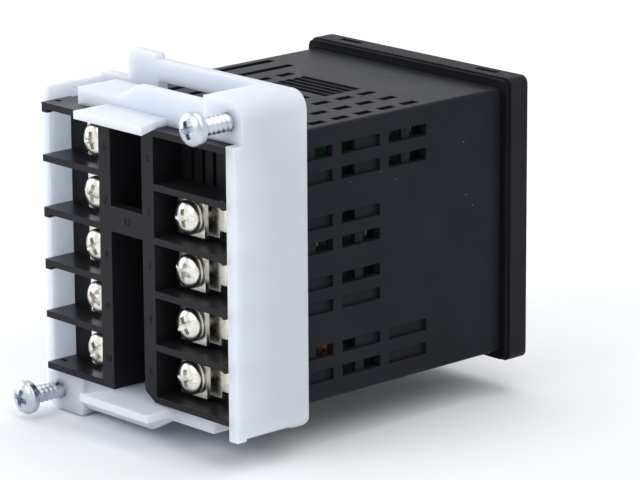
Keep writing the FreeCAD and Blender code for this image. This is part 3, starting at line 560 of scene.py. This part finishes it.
class CONTROLLER_OT_front(bpy.types.Operator):
    """Rounds the front frame, and builds the window, digits, lamps and marked keys"""

    bl_idname = "controller.front"
    bl_label = "Front frame and display"

    def execute(self, context):
        bezel_black = moulded("bezel_black", colours().bezel, roughness=0.46, grain=0.35 * MM,
                              depth=0.012 * MM, facing=0.35, glancing=0.28, index=1.19)
        bezel = copy_node("front_bezel", "bezel_frame")
        round_edges(bezel, sizes().bezel_edge)
        finish_piece(bezel, bezel_black, "housing", "bezel_black", "front_bezel")
        window = copy_node("display_window", "window_pane")
        round_edges(window, sizes().window_edge)
        smoked_pane = smoked("smoked_pane", colours().pane)
        finish_piece(window, smoked_pane, "housing", "smoked_window", "display_window")
        module_black = matt("module_black", colours().module, 0.5)
        segment_grey = matt("segment_grey", colours().segment, 0.4)
        for row in ("upper", "lower"):
            dress(row + "_display", module_black)
            finish_piece(self.digits(row), segment_grey, "housing", "lamp_clear")
        lamp_clear = matt("lamp_clear", colours().lamp, 0.3)
        lamps = copy_node("status_lamps", "lamps")
        round_edges(lamps, sizes().lamp_edge)
        finish_piece(lamps, lamp_clear, "housing", "lamp_clear", "status_lamps")
        key_grey = moulded("key_grey", colours().key, roughness=0.55, grain=0.3 * MM, depth=0.015 * MM,
                           facing=0.3, glancing=0.5)
        mark_white = matt("mark_white", colours().mark, 0.6)
        for number in range(1, KEYS + 1):
            node = "key_%d" % number
            cap = copy_node(node, "cap_%d" % number)
            self.dish(cap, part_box(node)[0].y)
            round_edges(cap, sizes().key_edge)
            finish_piece(cap, key_grey, node, "key_grey", node)
            finish_piece(self.mark(number), mark_white, node, "key_grey")
        return {"FINISHED"}

    def dish(self, cap, face):
        """Sinks the middle of a key's face so that its raised mark stays behind the rim."""
        edit(cap)
        select_faces(cap, lambda place, normal: normal.y < -FACING and abs(place.y - face) < SAME_PLACE)
        bpy.ops.mesh.inset(thickness=KEY_RIM)
        bpy.ops.transform.translate(value=(0.0, KEY_DISH, 0.0))
        done()

    def digits(self, row):
        """Seven flat six-sided segments and a point for each of four digits."""
        low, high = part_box(row + "_display")
        pitch = (high.x - low.x) / DIGITS
        height = (high.z - low.z) * DIGIT_HEIGHT_SHARE
        width = pitch * DIGIT_WIDTH_SHARE
        thick = height * SEGMENT_SHARE
        face = low.y + DIGIT_SUNK
        bars = []
        for digit in range(DIGITS):
            middle = Vector((low.x + (digit + 0.5) * pitch, face, (low.z + high.z) / 2))
            for level in (-1, 0, 1):
                bars.append(self.segment(middle + Vector((0.0, 0.0, level * height / 2)), width, thick, 0.0))
            for side in (-1, 1):
                for level in (-1, 1):
                    place = middle + Vector((side * width / 2, 0.0, level * height / 4))
                    bars.append(self.segment(place, height / 2, thick, math.radians(90.0)))
            point = middle + Vector((width * POINT_SHARE, 0.0, -height / 2))
            bars.append(self.segment(point, thick * POINT_LENGTH_SHARE, thick, 0.0))
        digits = join(bars, row + "_digits")
        round_edges(digits, sizes().fine_edge, 1)
        return digits

    def segment(self, place, length, thick, turn):
        """A flat six-sided bar, a little shorter than its length so that its neighbours stay apart."""
        bar = add_rod("segment", 0.5, SEGMENT_DEPTH, (0.0, 0.0, 0.0), 6)
        bar.scale = (length * 0.94, 1.0, thick)
        bar.rotation_euler = (0.0, turn, 0.0)
        bar.location = place
        settle(bar)
        return bar

    def mark(self, number):
        """A raised mark on a key: a ring, an arrow to the side, down or up."""
        low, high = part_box("key_%d" % number)
        place = Vector(((low.x + high.x) / 2, low.y + MARK_SUNK, (low.z + high.z) / 2))
        name = "key_mark_%d" % number
        if number == 1:
            mark = add_rod(name, RING_RADIUS, MARK_DEPTH, place, 32)
            edit(mark)
            select_faces(mark, lambda spot, normal: abs(normal.y) > FACING)
            bpy.ops.mesh.inset(thickness=RING_WIDTH)
            bpy.ops.mesh.bridge_edge_loops()
            done()
        else:
            mark = add_rod(name, ARROW_RADIUS, MARK_DEPTH, place, 3)
            pivot = Matrix.Translation(place)
            turn = math.radians(ARROW_TURNS[number])
            mark.matrix_world = pivot @ Matrix.Rotation(turn, 4, "Y") @ pivot.inverted()
            settle(mark)
        round_edges(mark, sizes().fine_edge, 1)
        return mark


GASKET_SHRINK = (0.9985, 0.97, 0.9985)    # keeps the wavering ring inside its solid's space
GASKET_WAVER = 0.16 * MM


class CONTROLLER_OT_gasket(bpy.types.Operator):
    """Rounds the gasket and lets its outer edge waver a little"""

    bl_idname = "controller.gasket"
    bl_label = "Gasket"

    # Shades the gasket smooth and lets its outer edge waver a little
    def execute(self, context):
        ring = copy_node("panel_gasket", "gasket_ring")
        edit(ring)
        bpy.ops.mesh.select_all(action="SELECT")
        bpy.ops.mesh.quads_convert_to_tris()
        bpy.ops.mesh.subdivide(number_cuts=3)
        bpy.ops.mesh.select_all(action="SELECT")
        bpy.ops.transform.resize(value=GASKET_SHRINK,
                                 center_override=(0.0, centre("panel_gasket").y, 0.0))
        done()
        cloud = bpy.data.textures.new("gasket_waver", "CLOUDS")
        cloud.noise_scale = 7.0 * MM
        apply_modifier(ring, "DISPLACE", texture=cloud, texture_coords="LOCAL", strength=GASKET_WAVER,
                       mid_level=0.85)
        smooth(ring)
        finish_piece(ring, rubber("gasket_rubber", colours().gasket), "housing", "gasket_rubber",
                     "panel_gasket")
        return {"FINISHED"}


# -------------------- case and its boards
# side windows as the solid has them, counted from the front
CASE_WALL = 1.6 * MM
WINDOW_SUNK = 0.95 * MM
WINDOW_COLUMNS = 4
FIRST_WINDOW = 16.8 * MM
WINDOW_PITCH = 53.3 * MM * 0.193
WINDOW_LENGTH = WINDOW_PITCH * 0.81
# where along a window a hole in its panel ends, and how far that edge moves
HOLE_EDGES = ((0.65, -0.58 * MM), (0.46, -0.79 * MM))
PANEL_OUTWARDS = 0.20 * MM

EYELET_PLACE = (36.62 * MM, -15.5 * MM)    # back from the panel, up from the middle

COIL_LENGTH_SHARE = 0.48     # of the core's height
COIL_HALF_WIDTH_SHARE = 0.52
COIL_HALF_DEPTH_SHARE = 0.30
LEGS_PER_SIDE = 16
LEG_REACH = 0.9 * MM
LEG_RISE = 0.55 * MM
LEG_HALF_SHARE = 0.22        # half a leg's width as a share of the legs' pitch
TINNED_LENGTH = 0.35 * MM
TINNED_GROWTH = 0.03 * MM
CAN_END_RADIUS = 3.1 * MM
CAN_END_THICKNESS = 0.10 * MM


class CONTROLLER_OT_case(bpy.types.Operator):
    """Rounds the sleeve's edges, windows and vents"""

    bl_idname = "controller.case"
    bl_label = "Case"

    def execute(self, context):
        sleeve = copy_node("case", "sleeve")
        self.set_window_panels(sleeve)
        round_edges(sleeve, sizes().case_edge)
        charcoal = moulded("case_charcoal", colours().case, roughness=0.36, grain=0.30 * MM,
                           depth=0.008 * MM, facing=0.35, glancing=0.36, index=1.165, specks=True)
        finish_piece(sleeve, charcoal, "housing", "case_charcoal", "case")
        return {"FINISHED"}

    def set_window_panels(self, sleeve):
        """Brings the blind window panels a little outwards and moves the edges of their holes forwards."""
        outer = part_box("case")[1].x
        panel = outer - WINDOW_SUNK
        inside = outer - CASE_WALL
        edit(sleeve)
        for column in range(WINDOW_COLUMNS):
            front = FIRST_WINDOW + column * WINDOW_PITCH
            for share, shift in HOLE_EDGES:
                edge = front + WINDOW_LENGTH * share
                select_edges(sleeve, lambda a, b: all(abs(point.y - edge) < SAME_PLACE
                                                      and abs(point.x) > inside - SAME_PLACE
                                                      for point in (a, b)))
                bpy.ops.transform.translate(value=(0.0, shift, 0.0))
        for side in (-1, 1):
            select_faces(sleeve, lambda place, normal: normal.x * side > FACING
                         and abs(place.x - side * panel) < SAME_PLACE)
            bpy.ops.transform.translate(value=(side * PANEL_OUTWARDS, 0.0, 0.0))
        done()


class CONTROLLER_OT_boards(bpy.types.Operator):
    """Finishes the boards and what stands on them, and winds the coil"""

    bl_idname = "controller.boards"
    bl_label = "Boards and components"

    def execute(self, context):
        mask = solder_mask("solder_mask", colours().board)
        black = matt("component_black", colours().component)
        tin = plated("solder_tin", colours().tin, 0.35)
        copper = plated("copper_ring", colours().copper, 0.35)
        relay_blue = matt("relay_blue", colours().relay, 0.4)
        steel = laminations("core_laminations", colours().core)
        can_sleeve = matt("can_sleeve", colours().can, 0.3)
        for node, material in (("display_board", mask), ("main_board", mask), ("power_board", mask),
                               ("key_switches", black), ("board_link", black)):
            dress(node, material)
        for node, name, material, slot, edge in (
            ("board_eyelet", "eyelet", copper, "copper", 0.06 * MM),
            ("surface_parts", "chip_parts", black, "chip_black", 0.08 * MM),
            ("output_relay", "relay_box", relay_blue, "relay_blue", 0.4 * MM),
            ("power_transformer", "core_stack", steel, "core_steel", 0.15 * MM),
            ("filter_capacitor", "capacitor_can", can_sleeve, "capacitor_sleeve", 0.5 * MM),
            ("controller_chip", "chip_body", black, "chip_black", 0.12 * MM),
        ):
            piece = copy_node(node, name)
            if node == "board_eyelet":
                piece.location = Vector((0.0, *EYELET_PLACE)) - Vector((0.0, *centre(node).yz))
                settle(piece)
            round_edges(piece, edge)
            finish_piece(piece, material, "housing", slot, node)
        finish_piece(self.coil(), winding("coil_winding", colours().copper), "housing", "copper")
        finish_piece(self.chip_legs(), tin, "housing", "nickel")
        finish_piece(self.end_caps(), tin, "housing", "nickel")
        finish_piece(self.can_top(), tin, "housing", "nickel")
        return {"FINISHED"}

    def coil(self):
        """A rounded coil round the middle leg of the core."""
        low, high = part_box("power_transformer")
        length = (high.z - low.z) * COIL_LENGTH_SHARE
        bpy.ops.mesh.primitive_cylinder_add(vertices=32, radius=1.0, depth=length, location=(low + high) / 2)
        coil = bpy.context.object
        coil.name = "coil"
        coil.scale = ((high.x - low.x) * COIL_HALF_WIDTH_SHARE,
                      (high.y - low.y) * COIL_HALF_DEPTH_SHARE, 1.0)
        settle(coil)
        edit(coil)
        select_faces(coil, lambda place, normal: abs(normal.z) > FACING)
        bpy.ops.mesh.inset(thickness=0.5 * MM)
        done()
        round_edges(coil, sizes().coil_edge)
        return coil

    def chip_legs(self):
        """Rows of legs on both long sides of the controller chip."""
        low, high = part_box("controller_chip")
        pitch = (high.y - low.y) / LEGS_PER_SIDE
        half = pitch * LEG_HALF_SHARE
        legs = []
        for index in range(LEGS_PER_SIDE):
            y = low.y + (index + 0.5) * pitch
            for bottom, top in ((low.z - LEG_REACH, low.z), (high.z, high.z + LEG_REACH)):
                legs.append(add_block("leg", (low.x, y - half, bottom), (low.x + LEG_RISE, y + half, top)))
        piece = join(legs, "chip_legs")
        round_edges(piece, sizes().leg_edge, 1)
        return piece

    def end_caps(self):
        """Tinned ends on the small parts behind the side windows."""
        caps = []
        grow = TINNED_GROWTH
        for low, high in self.islands(frame["nodes"]["surface_parts"]):
            for y in (low.y, high.y - TINNED_LENGTH):
                caps.append(add_block("cap", (low.x - grow, y - grow, low.z - grow),
                                      (high.x, y + TINNED_LENGTH + grow, high.z + grow)))
        piece = join(caps, "chip_ends")
        round_edges(piece, sizes().leg_edge, 1)
        return piece

    def islands(self, node):
        """Boxes round the separate solids of a node: faces whose boxes touch belong together."""
        boxes = []
        for face in node.data.polygons:
            points = [node.data.vertices[v].co for v in face.vertices]
            low = Vector([min(p[i] for p in points) for i in range(3)])
            high = Vector([max(p[i] for p in points) for i in range(3)])
            touching = [box for box in boxes
                        if all(box[0][i] <= high[i] + WELD and low[i] <= box[1][i] + WELD for i in range(3))]
            for box in touching:
                boxes.remove(box)
                low = Vector([min(low[i], box[0][i]) for i in range(3)])
                high = Vector([max(high[i], box[1][i]) for i in range(3)])
            boxes.append((low, high))
        return boxes

    def can_top(self):
        """The bare scored disc on the capacitor's end."""
        low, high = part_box("filter_capacitor")
        middle = (low + high) / 2
        bpy.ops.mesh.primitive_cylinder_add(vertices=32, radius=CAN_END_RADIUS, depth=CAN_END_THICKNESS,
                                            location=(low.x, middle.y, middle.z),
                                            rotation=(0.0, math.radians(90.0), 0.0))
        disc = bpy.context.object
        disc.name = "capacitor_end"
        settle(disc)
        round_edges(disc, sizes().fine_edge, 1)
        return disc


# -------------------- rear moulding and terminals
NUMERAL_COLUMNS = ((1, -3.75 * MM), (6, 6.85 * MM))    # first number and place of each bar's column
BRIDGE_NUMERAL = (1.55 * MM, 6.1 * MM)
BOLT_TURNS = (12.0, -8.0, 25.0, 60.0, 38.0, 8.0, -14.0, 30.0, 4.0)
BOLT_RADIUS = 1.45 * MM


class CONTROLLER_OT_terminal_block(bpy.types.Operator):
    """Rounds the rear moulding and adds its raised terminal numbers"""

    bl_idname = "controller.terminal_block"
    bl_label = "Terminal block"

    def execute(self, context):
        black = moulded("block_black", colours().block, roughness=0.34, grain=0.40 * MM, depth=0.008 * MM,
                        facing=0.13, glancing=0.40)
        block = copy_node("terminal_block", "rear_block")
        round_edges(block, sizes().block_edge)
        finish_piece(block, black, "housing", "block_charcoal", "terminal_block")
        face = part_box("terminal_block")[1].y
        numerals = []
        pitch = centre("terminal_screw_1").z - centre("terminal_screw_2").z
        for row in range(TERMINAL_ROWS):
            z = (TERMINAL_ROWS // 2 - row) * pitch
            for first, x in NUMERAL_COLUMNS:
                numerals.append(self.numeral(str(first + row), (x, face, z)))
        numerals.append(self.numeral("12", (BRIDGE_NUMERAL[0], face, BRIDGE_NUMERAL[1])))
        raised = join(numerals, "terminal_numbers")
        outward(raised)
        smooth(raised)
        finish_piece(raised, black, "housing", "block_charcoal")
        return {"FINISHED"}

    def numeral(self, text, place):
        """A raised number that reads upright from behind."""
        bpy.ops.object.text_add(location=place, rotation=(math.radians(90.0), 0.0, math.radians(180.0)))
        words = bpy.context.object
        words.data.body = text
        words.data.size = sizes().numeral
        words.data.extrude = sizes().numeral_rise
        words.data.align_x = "CENTER"
        words.data.align_y = "CENTER"
        words.data.resolution_u = 4
        bpy.ops.object.convert(target="MESH")
        settle(bpy.context.object)
        return bpy.context.object


def pan_head(name, radius, height, slotted=False):
    """A domed screw head with a cross recess, its underside at the origin and its top along +Y."""
    rim = height * 0.42             # upright edge below the dome
    reach = radius * 0.72           # half the cross recess's length
    width = radius * 0.40
    floor = height * 0.48
    open_top = height * 1.4
    slot_half = width * 0.20
    bpy.ops.mesh.primitive_uv_sphere_add(segments=40, ring_count=24, radius=1.0)
    head = bpy.context.object
    head.name = name
    head.scale = (radius, radius, height - rim)
    head.location = (0.0, 0.0, rim)
    settle(head)
    edit(head)
    bpy.ops.mesh.select_all(action="SELECT")
    bpy.ops.mesh.bisect(plane_co=(0.0, 0.0, rim), plane_no=(0.0, 0.0, 1.0), use_fill=True,
                        clear_inner=True, clear_outer=False)
    select_faces(head, lambda place, normal: normal.z < -FACING)
    bpy.ops.mesh.extrude_region_move(TRANSFORM_OT_translate={"value": (0.0, 0.0, -rim)})
    select_edges(head, lambda a, b: a.z < rim * 0.05 and b.z < rim * 0.05)
    bpy.ops.mesh.bevel(offset=rim * 0.35, segments=2, affect="EDGES")
    done()
    outward(head)
    cutters = []
    arms = ((reach, width / 2, (0.52, 0.62, 1.0)), (width / 2, reach, (0.62, 0.52, 1.0)))
    for half_x, half_y, taper in arms:
        cutter = add_block("cutter", (-half_x, -half_y, floor), (half_x, half_y, open_top))
        edit(cutter)
        select_faces(cutter, lambda place, normal: normal.z < -FACING)
        bpy.ops.transform.resize(value=taper, center_override=(0.0, 0.0, floor))
        done()
        cutters.append(cutter)
    if slotted:
        cutters.append(add_block("cutter", (-radius * 1.1, -slot_half, height * 0.72),
                                 (radius * 1.1, slot_half, open_top)))
    cut_away(head, cutters)
    round_edges(head, sizes().head_edge, 1)
    head.rotation_euler = (math.radians(-90.0), 0.0, 0.0)
    settle(head)
    return head


def thread(name, radius, start, end, pitch, depth):
    """A threaded shank along Y: a zigzag line swept once round, climbing one pitch."""
    steps = 28
    turns = int((end - start) / pitch)
    zigzag = ((0.0, 0.22), (depth, 0.24), (0.0, 0.12), (-depth, 0.42))    # outwards, share of the pitch up
    bpy.ops.mesh.primitive_cube_add(size=0.001)
    shank = bpy.context.object
    shank.name = name
    edit(shank)
    bpy.ops.mesh.select_mode(type="VERT")
    bpy.ops.mesh.select_all(action="SELECT")
    bpy.ops.mesh.merge(type="CENTER")
    bpy.ops.mesh.select_all(action="SELECT")
    bpy.ops.transform.translate(value=(radius - depth, 0.0, 0.0))
    for _ in range(turns):
        for offset, rise in zigzag:
            bpy.ops.mesh.extrude_region_move(TRANSFORM_OT_translate={"value": (offset, 0.0, rise * pitch)})
    done()
    apply_modifier(shank, "SCREW", axis="Z", angle=math.radians(360.0), screw_offset=pitch, iterations=1,
                   steps=steps, render_steps=steps, use_merge_vertices=True, merge_threshold=WELD)
    outward(shank)
    edit(shank)
    bpy.ops.mesh.select_mode(type="EDGE")
    bpy.ops.mesh.select_all(action="DESELECT")
    bpy.ops.mesh.select_non_manifold()
    bpy.ops.mesh.fill_holes(sides=0)
    done()
    outward(shank)
    shank.location = (0.0, start, 0.0)
    shank.rotation_euler = (math.radians(-90.0), 0.0, 0.0)
    settle(shank)
    smooth(shank, 50.0)
    return shank


class CONTROLLER_OT_terminals(bpy.types.Operator):
    """Models one terminal screw and copies it, and finishes the washers and plates"""

    bl_idname = "controller.terminals"
    bl_label = "Terminal screws, washers and plates"

    def execute(self, context):
        nickel = plated("bright_nickel", colours().nickel, 0.20)
        low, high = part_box("terminal_screw_1")
        washer_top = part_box("terminal_washer_1")[1].y
        head = pan_head("screw_pattern", (high.x - low.x) / 2, high.y - washer_top, True)
        shank = add_rod("shank", BOLT_RADIUS, washer_top - low.y, (0.0, (low.y - washer_top) / 2, 0.0))
        round_edges(shank, sizes().shank_edge)
        pattern = join([head, shank], "screw_pattern")
        for number in range(1, TERMINALS + 1):
            screw_node = "terminal_screw_%d" % number
            washer_node = "terminal_washer_%d" % number
            body = "terminal_%d" % number
            place = centre(screw_node)
            place.y = washer_top
            turn = math.radians(BOLT_TURNS[number - 1])
            screw = copy_piece(pattern, "terminal_bolt_%d" % number, place, turn)
            finish_piece(screw, nickel, body, "nickel", screw_node)
            washer = copy_node(washer_node, "square_washer_%d" % number)
            round_edges(washer, sizes().metal_edge)
            finish_piece(washer, nickel, body, "nickel", washer_node)
        bpy.data.objects.remove(pattern)
        strip_nickel = plated("strip_nickel", tint(colours().nickel, 1.05), 0.26)
        plates = copy_node("terminal_plates", "terminal_strips")
        round_edges(plates, sizes().metal_edge)
        finish_piece(plates, strip_nickel, "housing", "nickel", "terminal_plates")
        return {"FINISHED"}


# -------------------- bracket
# the upper latch fence; the lower one is the same after half a turn
FENCE_LEFT, FENCE_RIGHT = -15.60 * MM, 9.0 * MM
FENCE_FRONT, FENCE_BACK = 55.9 * MM, 57.5 * MM
FENCE_TOP = 28.20 * MM
# the space opened under the rib
ARCH_LOW = (-15.60 * MM, 44.5 * MM, 24.5 * MM)
ARCH_HIGH = (8.5 * MM, 47.2 * MM, 26.0 * MM)

CLAMP_LENGTH = 20.0 * MM
CLAMP_RADIUS = 1.45 * MM
CLAMP_CORE_RADIUS = 1.05 * MM
CLAMP_TURNS = (("top", 20.0), ("bottom", -12.0))


class CONTROLLER_OT_bracket(bpy.types.Operator):
    """Rounds the milky clamping bracket"""

    bl_idname = "controller.bracket"
    bl_label = "Clamping bracket"

    def execute(self, context):
        bracket = copy_node("mounting_bracket", "milky_bracket")
        self.lower_fences(bracket)
        round_edges(bracket, sizes().bracket_edge, 3)
        finish_piece(bracket, milky("bracket_milky", colours().bracket), "bracket", "bracket_translucent",
                     "mounting_bracket")
        return {"FINISHED"}

    def lower_fences(self, bracket):
        """Trims both latch fences and opens the arch under the rib a little."""
        above = 30.0 * MM
        cut_away(bracket, [
            add_block("cutter", (FENCE_LEFT, FENCE_FRONT, FENCE_TOP), (FENCE_RIGHT, FENCE_BACK, above)),
            add_block("cutter", (-FENCE_RIGHT, FENCE_FRONT, -above), (-FENCE_LEFT, FENCE_BACK, -FENCE_TOP)),
            add_block("cutter", ARCH_LOW, ARCH_HIGH),
        ])


class CONTROLLER_OT_clamp_screws(bpy.types.Operator):
    """Models a threaded clamp screw and copies it to both corners"""

    bl_idname = "controller.clamp_screws"
    bl_label = "Clamp screws"

    def execute(self, context):
        zinc = plated("zinc_plate", colours().zinc, 0.27)
        low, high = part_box("clamp_screw_top")
        head = pan_head("clamp_pattern", (high.x - low.x) / 2, high.y - low.y - CLAMP_LENGTH)
        shank = thread("clamp_thread", CLAMP_RADIUS, -CLAMP_LENGTH, -0.35 * MM, sizes().thread_pitch,
                       sizes().thread_depth)
        core = add_rod("core", CLAMP_CORE_RADIUS, CLAMP_LENGTH - 0.4 * MM, (0.0, -CLAMP_LENGTH / 2, 0.0))
        pattern = join([head, shank, core], "clamp_pattern")
        for side, turn in CLAMP_TURNS:
            node = "clamp_screw_" + side
            place = centre(node)
            place.y = low.y + CLAMP_LENGTH
            screw = copy_piece(pattern, "clamp_bolt_" + side, place, math.radians(turn))
            finish_piece(screw, zinc, "clamp_" + side, "zinc", node)
        bpy.data.objects.remove(pattern)
        return {"FINISHED"}


# -------------------- stage
# name, place, side length, power in watts, colour
LIGHTS = (
    ("key_softbox", (-0.75, 0.15, 0.85), 0.7, 2.6, (1.0, 1.0, 1.0)),
    ("rear_softbox", (0.10, 0.95, 0.60), 0.6, 2.8, (1.0, 1.0, 1.0)),
    ("top_softbox", (0.05, -0.25, 1.10), 0.9, 4.4, (1.0, 1.0, 1.0)),
    ("far_softbox", (1.05, 0.32, 0.26), 0.9, 7.0, (0.78, 0.88, 1.0)),
)
CAMERA_PLACE = (-0.46369, 0.44745, 0.16313)
CAMERA_TURN = (75.17540, 0.36038, -132.79878)
CAMERA_LENS = 221.571
ROOM_LIGHT = 0.60            # strength of the surroundings as light
FLOOR_SIZE = 6.0
FLOOR_GAP = 0.3 * MM


class CONTROLLER_OT_stage(bpy.types.Operator):
    """Adds the pale floor, white surroundings, soft lights and the camera"""

    bl_idname = "controller.stage"
    bl_label = "Stage"

    def execute(self, context):
        scene = context.scene
        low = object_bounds()[0]
        bpy.ops.mesh.primitive_plane_add(size=FLOOR_SIZE, location=(0.0, 0.0, low.z - FLOOR_GAP))
        floor = context.object
        floor.name = "stage_floor"
        settle(floor)
        finish = Finish("floor_white", colours().floor, 0.9)
        finish.set("Specular IOR Level", 0.1)
        finish.colour_from(finish.ramp(finish.noise(0.6), [(0.3, tint(colours().floor, 0.995)),
                                                           (0.7, colours().floor)]))
        floor.data.materials.append(finish.material)
        floor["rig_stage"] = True
        self.surroundings(scene)
        for name, place, size, power, colour in LIGHTS:
            self.softbox(name, Vector(place), size, power, colour)
        bpy.ops.object.camera_add(location=CAMERA_PLACE, rotation=[math.radians(a) for a in CAMERA_TURN])
        camera = context.object
        camera.name = "camera"
        camera.data.lens = CAMERA_LENS
        camera.data.sensor_width = 36.0
        camera.data.clip_start = 0.01
        camera.data.clip_end = 50.0
        scene.camera = camera
        scene.view_settings.view_transform = "Standard"
        return {"FINISHED"}

    def softbox(self, name, place, size, power, colour):
        """A square soft light that points at the middle and isn't seen itself."""
        aim = (-place).to_track_quat("-Z", "Y").to_euler()
        bpy.ops.object.light_add(type="AREA", location=place, rotation=aim)
        light = bpy.context.object
        light.name = name
        light.data.shape = "SQUARE"
        light.data.size = size
        light.data.energy = power
        light.data.color = colour
        light.visible_camera = False

    def surroundings(self, scene):
        """White to the camera and in reflections, softer as light."""
        world = bpy.data.worlds.new("white_room")
        scene.world = world
        world.use_nodes = True
        nodes = world.node_tree.nodes
        links = world.node_tree.links
        seen = nodes["Background"]
        seen.inputs["Color"].default_value = (1.0, 1.0, 1.0, 1.0)
        seen.inputs["Strength"].default_value = 1.0
        lit = nodes.new("ShaderNodeBackground")
        lit.inputs["Color"].default_value = (0.96, 0.98, 1.0, 1.0)
        lit.inputs["Strength"].default_value = ROOM_LIGHT
        rays = nodes.new("ShaderNodeLightPath")
        either = rays.outputs["Is Camera Ray"]
        for kind in ("Is Glossy Ray", "Is Transmission Ray"):
            add = nodes.new("ShaderNodeMath")
            add.operation = "MAXIMUM"
            links.new(either, add.inputs[0])
            links.new(rays.outputs[kind], add.inputs[1])
            either = add.outputs["Value"]
        mix = nodes.new("ShaderNodeMixShader")
        links.new(either, mix.inputs["Fac"])
        links.new(lit.outputs["Background"], mix.inputs[1])
        links.new(seen.outputs["Background"], mix.inputs[2])
        links.new(mix.outputs["Shader"], nodes["World Output"].inputs["Surface"])


# -------------------- add-on
STEPS = (
    CONTROLLER_OT_front,
    CONTROLLER_OT_gasket,
    CONTROLLER_OT_case,
    CONTROLLER_OT_boards,
    CONTROLLER_OT_terminal_block,
    CONTROLLER_OT_terminals,
    CONTROLLER_OT_bracket,
    CONTROLLER_OT_clamp_screws,
    CONTROLLER_OT_stage,
)


class CONTROLLER_PT_panel(bpy.types.Panel):
    """Lists the settings and the building steps"""

    bl_idname = "CONTROLLER_PT_panel"
    bl_label = "Temperature controller"
    bl_space_type = "VIEW_3D"
    bl_region_type = "UI"
    bl_category = "Controller"

    def draw(self, context):
        for group in (context.scene.controller_colours, context.scene.controller_sizes):
            for name in group.bl_rna.properties.keys():
                if name not in ("rna_type", "name"):
                    self.layout.prop(group, name)
        for step in STEPS:
            self.layout.operator(step.bl_idname)


CLASSES = (ControllerColours, ControllerSizes) + STEPS + (CONTROLLER_PT_panel,)


def register():
    for cls in CLASSES:
        bpy.utils.register_class(cls)
    bpy.types.Scene.controller_colours = bpy.props.PointerProperty(type=ControllerColours)
    bpy.types.Scene.controller_sizes = bpy.props.PointerProperty(type=ControllerSizes)


def unregister():
    del bpy.types.Scene.controller_sizes
    del bpy.types.Scene.controller_colours
    for cls in reversed(CLASSES):
        bpy.utils.unregister_class(cls)


def main():
    register()
    bpy.ops.controller.front()
    bpy.ops.controller.gasket()
    bpy.ops.controller.case()
    bpy.ops.controller.boards()
    bpy.ops.controller.terminal_block()
    bpy.ops.controller.terminals()
    bpy.ops.controller.bracket()
    bpy.ops.controller.clamp_screws()
    bpy.ops.controller.stage()


if __name__ == "__main__":
    main()
